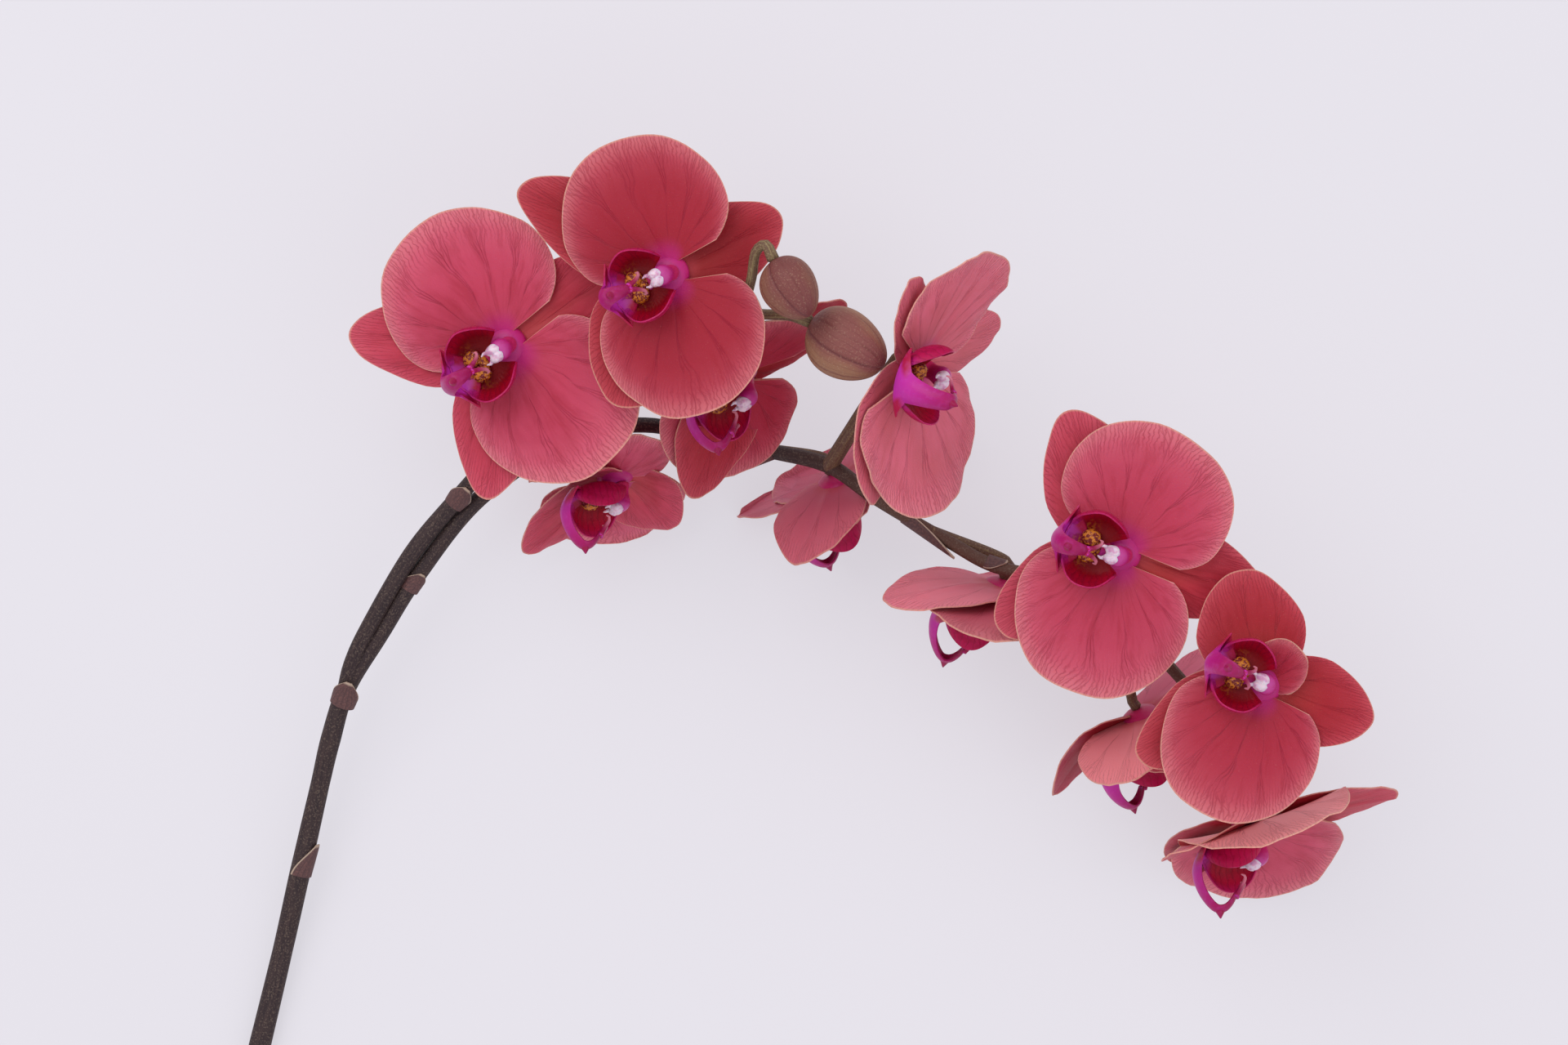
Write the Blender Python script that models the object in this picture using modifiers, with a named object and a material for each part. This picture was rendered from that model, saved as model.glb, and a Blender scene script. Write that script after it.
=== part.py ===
"""Moth orchid stem: one cut, arching spray laid on a surface, with eleven open blooms and two buds.

All sizes below are in millimetres. +Z is up, away from the surface that the spray lies on, and the
spray arches from its cut end on the left to its tip on the right.
"""

import math

import bmesh
import bpy
import numpy as np

MM = 0.001
GAP = 0.3  # between touching pieces
WELD = 0.02  # points of a fused piece closer than this become one
OBJECT_NAME = "moth_orchid_stem"
SPRAY_MIDDLE = np.array([6.0, -41.7, 0.0])  # becomes the origin, below the middle of the spray

# Petals and sepals, with the number of points in each row from the claw to the edge
BLADE = 0.8
CLAW_REACH = 0.05  # share of a blade's length that is its narrow foot
PETAL = dict(
    length=46.0, width=54.5, fan=math.radians(135), root=2.5, spread=0.80, point=0.0, shoulder=0.06,
    fullness=0.86, rows=(3, 5, 9),
)
SEPAL = dict(
    length=46.5, width=29.0, fan=math.radians(150), root=2.5, spread=0.62, point=0.25, shoulder=0.0,
    fullness=1.0, rows=(3, 5, 7),
)
OPEN_PETAL = dict(PETAL, fan=math.radians(118))  # leaves more room beside the lip
# Each blade of a bloom seen from the front: its form, the way that it points, its pitch forward,
# its height over the centre, its bend along and across (backward is negative) and its wave. A bloom's
# own blade may also be stretched along, slimmed across or rolled about its length.
BLADES = {
    "petal_left": dict(form=PETAL, points=175, pitch=4, height=-0.5, bend=-2, cup=-2, wave=0.8),
    "petal_right": dict(form=PETAL, points=7, pitch=4, height=-0.5, bend=-2, cup=-2, wave=0.8),
    "sepal_top": dict(form=SEPAL, points=90, pitch=-1, height=-3.0, bend=-2, cup=-0.5, wave=0.4),
    "sepal_left": dict(form=SEPAL, points=228, pitch=-1, height=-3.0, bend=-1, cup=-0.5, wave=0.4),
    "sepal_right": dict(form=SEPAL, points=312, pitch=-1, height=-3.0, bend=-1, cup=-0.5, wave=0.4),
}
RECEPTACLE = dict(radius=6.4, front=1.8, back=-5.4, sides=7, rings=4)

# Lip: a cup of two ears and a channelled tongue with side teeth, which hooks forward to a nub and back
LIP_CUP = dict(middle=-7.5, wide=11.0, deep=9.5, floor=4.2, ear=11.0, low=2.5, open_side=150)
LIP_BLADE = 0.9
TONGUE_ROUTE = [
    (-12.2, 3.5), (-17.3, 5.4), (-20.2, 10.0), (-19.6, 16.5), (-15.2, 25.0), (-11.4, 24.2), (-8.4, 20.0)
]  # (up, forward)
TONGUE_WIDTHS = [9.0, 22.0, 8.0, 6.0, 3.6, 3.0, 2.4]
TONGUE_CHANNEL = 0.25  # depth of its channel as a share of its width
COLUMN_PROFILE = [(0.0, 1.9), (2.6, 1.9), (2.5, 6.0), (3.5, 8.0), (3.3, 10.2), (1.8, 11.6), (0.0, 12.0)]
COLUMN_LEAN = 12  # degrees toward the lip

# Blooms from the cut end to the tip: centre, the way that each faces, the way that its top sepal
# points, its size, the share of its lip's reach, and what its own blades change
BLOOMS = {
    "bloom_01": dict(
        at=(-83.5, 52.8, 74), facing=(-0.12, -0.15, 0.98), top=(0.82, 0.57, 0.1), size=0.98,
        petal_left=dict(points=180, slim=1.05), petal_right=dict(stretch=1.05),
        sepal_left=dict(points=232, pitch=0, stretch=1.09),
        sepal_right=dict(points=316, pitch=0, stretch=1.05),
    ),
    "bloom_02": dict(
        at=(-52.0, 13.2, 36), facing=(0.17, -0.89, 0.43), top=(0.99, 0.05, -0.27), size=0.93,
        petal_left=dict(pitch=0, stretch=0.55, slim=0.62), petal_right=dict(slim=0.92),
        sepal_top=dict(points=45, pitch=23, stretch=0.72),
        sepal_left=dict(points=244, pitch=6, bend=6, roll=-25, stretch=0.76, slim=0.8),
        sepal_right=dict(points=322, pitch=16, stretch=0.97, slim=0.9),
    ),
    "bloom_03": dict(
        at=(-34, 73, 98), facing=(-0.20, -0.09, 0.97), top=(0.90, 0.40, 0.20), size=0.93,
        petal_left=dict(points=180, slim=1.02), petal_right=dict(points=-12),
        sepal_top=dict(points=94, pitch=-14, stretch=0.87),
        sepal_left=dict(points=216, pitch=1, stretch=1.24),
        sepal_right=dict(points=313, pitch=1, slim=1.35),
    ),
    "bloom_04": dict(
        at=(-13.5, 44.5, 61), facing=(0.28, -0.79, 0.53), top=(0.93, 0.34, -0.1), size=0.96,
        petal_left=dict(pitch=8, stretch=0.58),
        petal_right=dict(points=-20, pitch=14, stretch=0.96, slim=0.85),
        sepal_top=dict(points=86, pitch=-15, stretch=0.92), sepal_left=dict(stretch=0.75, pitch=-10),
        sepal_right=dict(points=329, pitch=21, stretch=1.06),
    ),
    "bloom_05": dict(
        at=(17, 11, 23), facing=(0.43, -0.82, -0.38), top=(0.83, 0.52, -0.18), tongue=0.8,
        petal_left=dict(points=212, pitch=18, stretch=0.5, slim=0.45),
        petal_right=dict(pitch=4, stretch=0.75, slim=0.7),
        sepal_left=dict(points=220, pitch=3, bend=3, roll=-8, stretch=0.92, slim=1.05),
        sepal_right=dict(points=322, pitch=9, stretch=0.92, slim=0.75),
    ),
    "bloom_06": dict(
        at=(40, 46.3, 86), facing=(0.74, -0.38, 0.55), top=(0.60, 0.18, -0.78),
        petal_left=dict(form=OPEN_PETAL, points=162, pitch=8, bend=6, stretch=0.92, slim=0.68),
        petal_right=dict(form=OPEN_PETAL, points=8, pitch=11, bend=6, slim=0.95),
        sepal_top=dict(points=97, slim=0.8),
        sepal_left=dict(points=203, pitch=7, stretch=0.72, slim=0.6),
        sepal_right=dict(points=335, bend=10, stretch=0.93, slim=1.1),
    ),
    "bloom_07": dict(
        at=(67, -22, 37), facing=(-0.12, -0.93, -0.35), top=(1.0, -0.12, -0.02),
        petal_left=dict(pitch=-4, bend=2, stretch=0.96), petal_right=dict(pitch=20, stretch=0.8),
        sepal_left=dict(points=230, pitch=-10, bend=8, slim=1.05),
        sepal_right=dict(pitch=20, stretch=0.85),
    ),
    "bloom_08": dict(
        at=(99.5, -9, 92), facing=(-0.17, -0.10, 0.98), top=(0.94, -0.32, 0.15), size=0.97,
        petal_left=dict(points=172, stretch=0.91), petal_right=dict(points=0),
        sepal_top=dict(pitch=-9), sepal_left=dict(points=219, slim=1.15), sepal_right=dict(points=320),
    ),
    "bloom_09": dict(
        at=(111, -62, 38), facing=(0.38, -0.87, -0.32), top=(0.79, 0.49, -0.37), tongue=0.88,
        petal_left=dict(pitch=26, stretch=0.58, slim=0.6),
        petal_right=dict(pitch=28, stretch=0.85, slim=0.8),
        sepal_left=dict(points=224, bend=2, stretch=0.95, slim=1.2),
        sepal_right=dict(points=318, pitch=5, bend=16, roll=30, stretch=0.76),
    ),
    "bloom_10": dict(
        at=(141, -47.5, 98), facing=(-0.02, 0.02, 1.0), top=(0.92, -0.38, 0.0), size=0.93,
        petal_left=dict(points=160, stretch=0.36, slim=0.34, bend=6),
        petal_right=dict(points=1, slim=0.94), sepal_top=dict(points=93, stretch=0.82),
        sepal_left=dict(points=214, stretch=0.81, slim=1.22), sepal_right=dict(points=324),
    ),
    "bloom_11": dict(
        at=(144, -94.5, 46), facing=(0.12, -0.90, 0.42), top=(0.98, 0.15, 0.0),
        petal_left=dict(pitch=8, bend=14, roll=12, rows=(3, 5, 9, 9)), petal_right=dict(bend=4),
        sepal_left=dict(points=224, pitch=25),
        sepal_right=dict(points=327, stretch=0.87, slim=1.15),
    ),
}

# Stems: places on the route with the radius there
MAIN_STEM = [
    ((-174.0, -197.0, 3.7), 3.6), ((-166.4, -166.0, 4.0), 3.5), ((-158.8, -135.4, 6.5), 3.2),
    ((-153.0, -111.0, 10.0), 3.3), ((-146.1, -82.4, 14.0), 3.0), ((-142.4, -67.9, 17.0), 3.2),
    ((-137.0, -51.8, 20.0), 2.9), ((-126.0, -34.8, 25.0), 2.7), ((-113.9, -16.1, 29.0), 2.7),
    ((-94.3, 7.7, 32.0), 2.6), ((-65.9, 26.5, 32.0), 2.5), ((-43.1, 30.3, 30.0), 2.4),
    ((-22.8, 26.0, 28.0), 2.3), ((-3.8, 22.1, 29.0), 2.3), ((14.1, 17.5, 35.5), 2.5),
    ((28.9, 6.9, 44.0), 2.0), ((50.1, -5.6, 47.0), 2.0), ((63.8, -13.1, 49.0), 2.1),
    ((80.0, -17.0, 53.0), 1.9), ((97.0, -23.0, 57.0), 1.9), ((112.0, -38.0, 58.0), 1.8),
    ((126.0, -54.0, 57.0), 1.7), ((135.0, -68.0, 53.0), 1.6), ((138.0, -76.0, 49.0), 1.5),
]
SIDE_STEM = [
    ((-137.8, -53.0, 20.3), 2.4), ((-135.1, -44.1, 23.3), 2.6), ((-129.4, -32.5, 27.0), 2.6),
    ((-115.4, -9.5, 32.5), 2.7), ((-101.1, 7.5, 36.0), 2.6), ((-80.0, 30.0, 45.0), 2.1),
    ((-55.0, 50.0, 50.0), 2.0), ((-28.0, 60.0, 52.0), 1.9), ((-14.0, 63.5, 54.0), 1.8),
]
STEM_STEP = 18.0  # between the points of a stem's tube
# Stalk of each bloom: where it leaves its stem, its radius, and how far it runs straight behind
STALKS = {
    "bloom_01": ((-80.0, 30.0, 45.0), 2.0, 11.0), "bloom_02": ((-65.9, 26.5, 32.0), 2.0, 11.0),
    "bloom_03": ((-46.0, 54.0, 51.0), 2.0, 11.0), "bloom_04": ((-22.0, 61.5, 53.0), 1.9, 11.0),
    "bloom_05": ((-3.8, 22.1, 29.0), 1.9, 11.0), "bloom_06": ((14.1, 17.5, 35.5), 2.1, 8.0),
    "bloom_07": ((45.0, -3.0, 46.5), 1.8, 11.0), "bloom_08": ((80.0, -17.0, 53.0), 1.8, 11.0),
    "bloom_09": ((104.0, -30.0, 57.5), 1.7, 11.0), "bloom_10": ((126.0, -54.0, 57.0), 1.7, 11.0),
    "bloom_11": ((138.0, -76.0, 49.0), 1.4, 8.0),
}
# Sheaths that clasp the stem: foot, the way along the stem, the side that each opens to, its length,
# its radius at the foot, and how far its tip stands off
SHEATHS = [
    ((-153.0, -111.0, 10.0), (5.0, 20.0, 3.0), (0.9, -0.3, 0.3), 11.0, 3.4, 0.5),
    ((-138.6, -57.0, 19.0), (6.0, 15.0, 4.5), (-0.1, -0.3, 0.9), 9.0, 3.6, 0.8),
    ((-117.0, -20.7, 27.8), (12.0, 18.5, 4.0), (0.4, -0.3, 0.9), 7.0, 2.8, 0.5),
    ((-102.5, 5.5, 35.2), (16.0, 18.0, 6.0), (0.0, -0.2, 0.9), 8.0, 2.7, 1.4),
    ((-3.8, 22.1, 29.0), (-8.0, -2.0, -1.0), (-0.3, -0.9, 0.2), 7.0, 2.3, 1.0),
    ((37.0, 2.1, 45.0), (21.0, -12.5, 3.0), (-0.5, -0.8, 0.2), 20.0, 2.0, 1.6),
    ((62.0, -12.0, 48.8), (14.0, -7.0, 2.0), (0.4, 0.7, 0.5), 6.0, 2.0, 1.2),
]
# Buds: base, tip, widest, and the hooked stalk's route
BUDS = {
    "bud_1": dict(
        base=(-3.0, 76.5, 109.0), tip=(7.4, 60.0, 111.0), width=16.4, radius=1.5,
        stalk=[
            (-14.0, 63.5, 54.0), (-12.5, 63.5, 75.0), (-11.5, 65.0, 92.0), (-9.5, 72.0, 100.0),
            (-8.3, 79.0, 105.0), (-5.3, 81.0, 108.0),
        ],
    ),
    "bud_2": dict(
        base=(8.0, 59.4, 89.0), tip=(29.5, 46.2, 93.0), width=20.8, radius=1.6,
        stalk=[(-14.0, 63.5, 54.0), (-10.0, 63.0, 68.0), (-5.0, 62.0, 82.0), (2.0, 61.4, 88.0)],
    ),
}
BUD_LOBES = 0.05
BUD_POINT = 0.26  # how much narrower a bud is toward its tip

COLOURS = {
    "petal": ((0.43, 0.06, 0.10, 1.0), 0.45),
    "lip": ((0.36, 0.02, 0.20, 1.0), 0.35),
    "column": ((0.60, 0.22, 0.45, 1.0), 0.35),
    "bud": ((0.27, 0.13, 0.10, 1.0), 0.5),
    "stem": ((0.055, 0.038, 0.036, 1.0), 0.6),
}


def clear_scene():
    for ob in list(bpy.data.objects):
        bpy.data.objects.remove(ob, do_unlink=True)


def new_collection(name):
    made = bpy.data.collections.new(name)
    bpy.context.scene.collection.children.link(made)
    return made


def make_material(name):
    colour, roughness = COLOURS[name]
    mat = bpy.data.materials.new(name)
    mat.use_nodes = True
    shader = mat.node_tree.nodes["Principled BSDF"]
    shader.inputs["Base Color"].default_value = colour
    shader.inputs["Roughness"].default_value = roughness
    shader.inputs["Metallic"].default_value = 0.0
    return mat


def unit(vector):
    vector = np.asarray(vector, float)
    return vector / np.linalg.norm(vector)


# Pose of a bloom


def bloom_axes(bloom):
    """Columns are the bloom's right, its top and the way that it faces."""
    facing = unit(bloom["facing"])
    top = np.asarray(bloom["top"], float)
    top = unit(top - facing * (top @ facing))
    return np.stack([np.cross(top, facing), top, facing], axis=1)


def to_world(bloom, points):
    return np.asarray(points, float) @ bloom_axes(bloom).T * bloom.get("size", 1.0) + bloom["at"]


# Blades: petals and sepals


def blade_outline(form, fan):
    """Edge of a flat blade, along it and across it, for fan from -1 to 1."""
    half_length = 0.52 * form["length"]
    angle = fan * form["fan"]
    side = np.sin(angle)
    along = form["length"] - half_length + half_length * np.cos(angle)
    along = along - form["shoulder"] * form["length"] * side**2
    narrowing = 1.0 - form["point"] * np.maximum(np.cos(angle), 0.0)
    return along, 0.5 * form["width"] * np.sign(side) * np.abs(side) ** form["fullness"] * narrowing


def blade_place(form, blade, reach, fan):
    """Place on a blade in its bloom's frame, for reach from its root to its edge."""
    edge_along, edge_across = blade_outline(form, fan)
    along = form["root"] + reach * (edge_along - form["root"])
    across = edge_across * reach ** form["spread"] * blade.get("slim", 1.0)
    length_share = along / form["length"]
    width_share = 2 * across / form["width"]
    out = blade["bend"] * length_share**2 + blade["cup"] * width_share**2
    out = out + blade["wave"] * reach**4 * np.sin(3.0 * math.pi * fan + blade["points"])
    roll = math.radians(blade.get("roll", 0.0))
    flat = across * math.cos(roll) - out * math.sin(roll)
    out = across * math.sin(roll) + out * math.cos(roll)
    across = flat
    along = along * blade.get("stretch", 1.0)
    pitch = math.radians(blade["pitch"])
    turn = math.radians(blade["points"])
    ahead = along * math.cos(pitch) - out * math.sin(pitch)
    up = along * math.sin(pitch) + out * math.cos(pitch) + blade["height"]
    x = ahead * math.cos(turn) - across * math.sin(turn)
    y = ahead * math.sin(turn) + across * math.cos(turn)
    return np.stack([x, y, up], axis=-1)


def blade_grid(bloom, name):
    """Points of one blade in the world, rows from its claw to its edge; a short row repeats its points."""
    blade = {**BLADES[name], **bloom.get(name, {})}
    form = blade["form"]
    counts = blade.get("rows", form["rows"])
    columns = np.arange(counts[-1])
    rows = []
    for share, count in zip(np.linspace(0.0, 1.0, len(counts)) ** 0.8, counts):
        kept = np.round(np.linspace(0, columns[-1], count))
        nearest = kept[np.abs(kept[:, None] - columns).argmin(axis=0)]
        reach = CLAW_REACH + (1.0 - CLAW_REACH) * share
        rows.append(blade_place(form, blade, reach, 2.0 * nearest / columns[-1] - 1.0))
    grid = to_world(bloom, np.stack(rows))
    grid[..., 2] = np.maximum(grid[..., 2], 0.5 * BLADE)
    return grid


# Lip


def lip_cup_place(turn, climb):
    """Place on the lip's cup: turn goes round it from the tongue, climb from its middle to its rim."""
    side = np.radians(turn)
    ear = np.sin(np.clip(np.abs(turn) - 25, 0, 125) / 125 * math.pi) ** 0.8
    height = LIP_CUP["low"] + (LIP_CUP["ear"] - LIP_CUP["low"]) * ear
    wide = np.minimum(climb / 0.45, 1.0)
    wall = np.clip((climb - 0.35) / 0.65, 0.0, 1.0)
    bulge = wide * (0.88 + 0.2 * np.sin(wall * math.pi * 0.75))
    x = LIP_CUP["wide"] * np.sin(side) * bulge
    y = LIP_CUP["middle"] - LIP_CUP["deep"] * np.cos(side) * bulge
    z = LIP_CUP["floor"] + height * wall**1.2
    return np.stack([x, y, z], axis=-1)


def tongue_grid(forward):
    """Points of the tongue, three to a row; forward is its share of the full reach past the teeth."""
    route = np.array(TONGUE_ROUTE)
    route[2:, 1] = route[1, 1] + (route[2:, 1] - route[1, 1]) * forward
    widths = np.array(TONGUE_WIDTHS)
    tangent = np.gradient(route, axis=0)
    tangent /= np.linalg.norm(tangent, axis=1)[:, None]
    inward = np.stack([tangent[:, 1], -tangent[:, 0]], axis=1)
    rows = []
    for share in (-1.0, 0.0, 1.0):
        rise = TONGUE_CHANNEL * np.minimum(widths, 9.0) * abs(share)
        centre = route + inward * rise[:, None]
        rows.append(np.stack([0.5 * widths * share, centre[:, 0], centre[:, 1]], axis=-1))
    return np.stack(rows, axis=1)


# Meshes


def add_object(name, mesh, collection):
    ob = bpy.data.objects.new(name, mesh)
    collection.objects.link(ob)
    return ob


def sheet_object(name, grid, thickness, collection):
    """An open surface through a grid of points in millimetres, thickened evenly on both sides."""
    rows, columns = grid.shape[:2]
    bm = bmesh.new()
    verts = [[bm.verts.new(grid[i, j] * MM) for j in range(columns)] for i in range(rows)]
    for i in range(rows - 1):
        for j in range(columns - 1):
            a, b, c, d = verts[i][j], verts[i + 1][j], verts[i + 1][j + 1], verts[i][j + 1]
            bm.faces.new((a, b, c))
            bm.faces.new((a, c, d))
    bmesh.ops.remove_doubles(bm, verts=bm.verts, dist=1e-6)
    mesh = bpy.data.meshes.new(name)
    bm.to_mesh(mesh)
    bm.free()
    ob = add_object(name, mesh, collection)
    solidify = ob.modifiers.new("Solidify", "SOLIDIFY")
    solidify.thickness = thickness * MM
    solidify.offset = 0.0
    return ob


def tube_object(name, points, radii, sides_step, collection):
    """A round tube through points in millimetres, as a closed mesh."""
    curve = bpy.data.curves.new(name, "CURVE")
    curve.dimensions = "3D"
    curve.bevel_depth = 1.0
    curve.bevel_resolution = sides_step
    curve.use_fill_caps = True
    spline = curve.splines.new("POLY")
    spline.points.add(len(points) - 1)
    for spot, place, radius in zip(spline.points, points, radii):
        spot.co = (*(np.asarray(place) * MM), 1.0)
        spot.radius = radius * MM
    ob = add_object(name, curve, collection)
    bpy.context.view_layer.update()
    mesh = bpy.data.meshes.new_from_object(ob.evaluated_get(bpy.context.evaluated_depsgraph_get()))
    bpy.data.objects.remove(ob)
    bpy.data.curves.remove(curve)
    bm = bmesh.new()
    bm.from_mesh(mesh)
    bmesh.ops.remove_doubles(bm, verts=bm.verts, dist=1e-6)
    bm.normal_update()
    bmesh.ops.recalc_face_normals(bm, faces=bm.faces)
    bm.to_mesh(mesh)
    bm.free()
    return add_object(name, mesh, collection)


def ball_object(name, sides, rings, place, collection):
    """A ball whose points go where place puts a unit sphere's points, in millimetres."""
    bm = bmesh.new()
    bmesh.ops.create_uvsphere(bm, u_segments=sides, v_segments=rings, radius=1.0)
    points = place(np.array([v.co[:] for v in bm.verts]))
    for vert, point in zip(bm.verts, points):
        vert.co = point * MM
    bm.normal_update()
    bmesh.ops.recalc_face_normals(bm, faces=bm.faces)
    mesh = bpy.data.meshes.new(name)
    bm.to_mesh(mesh)
    bm.free()
    return add_object(name, mesh, collection)


def smooth_route(places, radii, step):
    """Points on a smooth curve through the places, about a step apart, with their radii."""
    places = np.asarray(places, float)
    radii = np.asarray(radii, float)
    padded = np.vstack([2 * places[0] - places[1], places, 2 * places[-1] - places[-2]])
    points, sizes = [], []
    for i in range(len(places) - 1):
        p0, p1, p2, p3 = padded[i : i + 4]
        count = max(1, round(np.linalg.norm(p2 - p1) / step))
        for t in np.arange(count) / count:
            points.append(
                0.5 * (2 * p1 + (p2 - p0) * t + (2 * p0 - 5 * p1 + 4 * p2 - p3) * t**2
                       + (3 * p1 - p0 - 3 * p2 + p3) * t**3)
            )
            sizes.append(radii[i] + (radii[i + 1] - radii[i]) * t)
    return np.array(points + [places[-1]]), np.array(sizes + [radii[-1]])


def fuse(name, pieces, collection):
    """One closed body from overlapping pieces, in the collection."""
    first, rest = pieces[0], pieces[1:]
    tools = new_collection(name + "_tools")
    for ob in rest:
        tools.objects.link(ob)
    union = first.modifiers.new("Union", "BOOLEAN")
    union.operation = "UNION"
    union.operand_type = "COLLECTION"
    union.collection = tools
    union.solver = "EXACT"
    bpy.context.view_layer.update()
    mesh = bpy.data.meshes.new_from_object(first.evaluated_get(bpy.context.evaluated_depsgraph_get()))
    mesh.name = name
    bm = bmesh.new()
    bm.from_mesh(mesh)
    bmesh.ops.remove_doubles(bm, verts=bm.verts, dist=WELD * MM)
    bmesh.ops.dissolve_degenerate(bm, edges=bm.edges, dist=WELD * MM)
    bmesh.ops.dissolve_verts(bm, verts=[v for v in bm.verts if len(v.link_edges) == 2])
    bmesh.ops.triangulate(bm, faces=bm.faces, ngon_method="EAR_CLIP")
    bm.to_mesh(mesh)
    bm.free()
    for ob in pieces:
        bpy.data.objects.remove(ob, do_unlink=True)
    bpy.data.collections.remove(tools)
    return add_object(name, mesh, collection)


def finish_piece(ob, material):
    """Moves the spray's middle to the origin and dresses the piece."""
    for vert in ob.data.vertices:
        vert.co -= vert.co.__class__(SPRAY_MIDDLE * MM)
    ob.data.materials.clear()
    ob.data.materials.append(material)
    ob.data.shade_smooth()
    ob.data.set_sharp_from_angle(angle=math.radians(50))


# Sub-parts


def make_tepals(name, bloom, parts):
    def receptacle(sphere):
        half = 0.5 * (RECEPTACLE["front"] - RECEPTACLE["back"])
        middle = 0.5 * (RECEPTACLE["front"] + RECEPTACLE["back"])
        return to_world(bloom, sphere * [RECEPTACLE["radius"], RECEPTACLE["radius"], half] + [0, 0, middle])

    pieces = [ball_object(name + "_core", RECEPTACLE["sides"], RECEPTACLE["rings"], receptacle, parts)]
    for blade in BLADES:
        pieces.append(sheet_object(name + "_" + blade, blade_grid(bloom, blade), BLADE, parts))
    return fuse(name + "_tepals", pieces, parts)


def make_lip(name, bloom, parts):
    open_side = LIP_CUP["open_side"]
    climb, turn = np.meshgrid([0.0, 0.5, 1.0], np.linspace(-open_side, open_side, 9), indexing="ij")
    cup = sheet_object(name + "_cup", to_world(bloom, lip_cup_place(turn, climb)), LIP_BLADE, parts)
    tongue_points = to_world(bloom, tongue_grid(bloom.get("tongue", 1.0)))
    tongue = sheet_object(name + "_tongue", tongue_points, LIP_BLADE, parts)
    foot_ends = to_world(bloom, [(0, -3.6, RECEPTACLE["front"] + GAP), (0, -6.6, LIP_CUP["floor"])])
    foot = tube_object(name + "_foot", foot_ends, (2.0, 2.4), 1, parts)
    return fuse(name + "_lip", [cup, tongue, foot], parts)


def make_column(name, bloom, parts):
    lean = math.radians(COLUMN_LEAN)

    def column(sphere):
        profile = np.array(COLUMN_PROFILE)
        share = np.linspace(0, 1, len(profile))
        height = np.interp(0.5 + 0.5 * sphere[:, 2], share, profile[:, 1])
        radius = np.interp(0.5 + 0.5 * sphere[:, 2], share, profile[:, 0])
        around = np.arctan2(sphere[:, 1], sphere[:, 0])
        x, y = radius * np.cos(around), radius * np.sin(around)
        ahead = height - RECEPTACLE["front"]
        return to_world(bloom, np.stack([x, 1.6 + y - ahead * math.sin(lean), height], axis=1))

    return ball_object(name + "_column", 6, 5, column, parts)


def stalk_route(bloom, start, straight):
    facing = unit(bloom["facing"]) * bloom.get("size", 1.0)
    end = np.array(bloom["at"]) + facing * (RECEPTACLE["back"] - GAP)
    return [start, np.array(bloom["at"]) - facing * straight, end]


def make_sheath(name, foot, along, opens, length, radius, lift, parts):
    """A pointed scale that wraps half round the stem and stands off it at its tip."""
    axis = unit(along)
    out = unit(opens - axis * np.dot(opens, axis))
    side = np.cross(axis, out)
    rows = []
    for share, half_wrap in ((0.0, 115), (1.0, 12)):
        turn = np.radians(np.linspace(-half_wrap, half_wrap, 5))[:, None]
        wall = radius + lift * share
        rows.append(foot + axis * length * share + wall * (out * np.cos(turn) + side * np.sin(turn)))
    return sheet_object(name, np.stack(rows), BLADE, parts)


def make_spike(parts):
    pieces = []
    for label, stem in (("main", MAIN_STEM), ("side", SIDE_STEM)):
        points, radii = smooth_route([p for p, _ in stem], [r for _, r in stem], STEM_STEP)
        pieces.append(tube_object(label, points, radii, 2, parts))
    for sheath in SHEATHS:
        pieces.append(make_sheath("sheath", *(np.array(value) for value in sheath), parts))
    for name, (start, radius, straight) in STALKS.items():
        route = stalk_route(BLOOMS[name], start, straight)
        points, radii = smooth_route(route, [radius * 1.2, radius, radius], 14.0)
        pieces.append(tube_object(name + "_stalk", points, radii, 1, parts))
    for name, bud in BUDS.items():
        base, tip = np.array(bud["base"]), np.array(bud["tip"])
        end = base - unit(tip - base) * GAP
        points, radii = smooth_route([*bud["stalk"], end], [bud["radius"]] * (len(bud["stalk"]) + 1), 14.0)
        pieces.append(tube_object(name + "_stalk", points, radii, 1, parts))
    return fuse("flower_spike", pieces, parts)


def make_bud(name, bud, parts):
    base, tip = np.array(bud["base"]), np.array(bud["tip"])
    axis = unit(tip - base)
    side = unit(np.cross(axis, (0, 0, 1)))
    frame = np.stack([side, np.cross(axis, side), axis], axis=1)
    length = np.linalg.norm(tip - base)

    def egg(sphere):
        share = 0.5 + 0.5 * sphere[:, 2]
        around = np.arctan2(sphere[:, 1], sphere[:, 0])
        radius = np.sin(np.arccos(np.clip(sphere[:, 2], -1, 1)))
        radius = radius * (1.0 + BUD_POINT * (0.5 - share)) * (1.0 + BUD_LOBES * np.cos(3 * around))
        flat = 0.5 * bud["width"] * radius
        local = np.stack([flat * np.cos(around), flat * np.sin(around), length * share], axis=1)
        return local @ frame.T + base

    return ball_object(name, 12, 7, egg, parts)


def main():
    clear_scene()
    parts = new_collection(OBJECT_NAME)
    colours = {name: make_material(name) for name in COLOURS}
    finish_piece(make_spike(parts), colours["stem"])
    for name, bud in BUDS.items():
        finish_piece(make_bud(name, bud, parts), colours["bud"])
    for name, bloom in BLOOMS.items():
        finish_piece(make_tepals(name, bloom, parts), colours["petal"])
        finish_piece(make_lip(name, bloom, parts), colours["lip"])
        finish_piece(make_column(name, bloom, parts), colours["column"])


main()
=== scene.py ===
"""Looks of the moth orchid stem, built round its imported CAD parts.

Shapes are worked out in millimetres from the same sizes and places as the CAD parts, at a finer
step, and each finished piece stands in the part's own frame, in metres.
"""

import math

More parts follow.
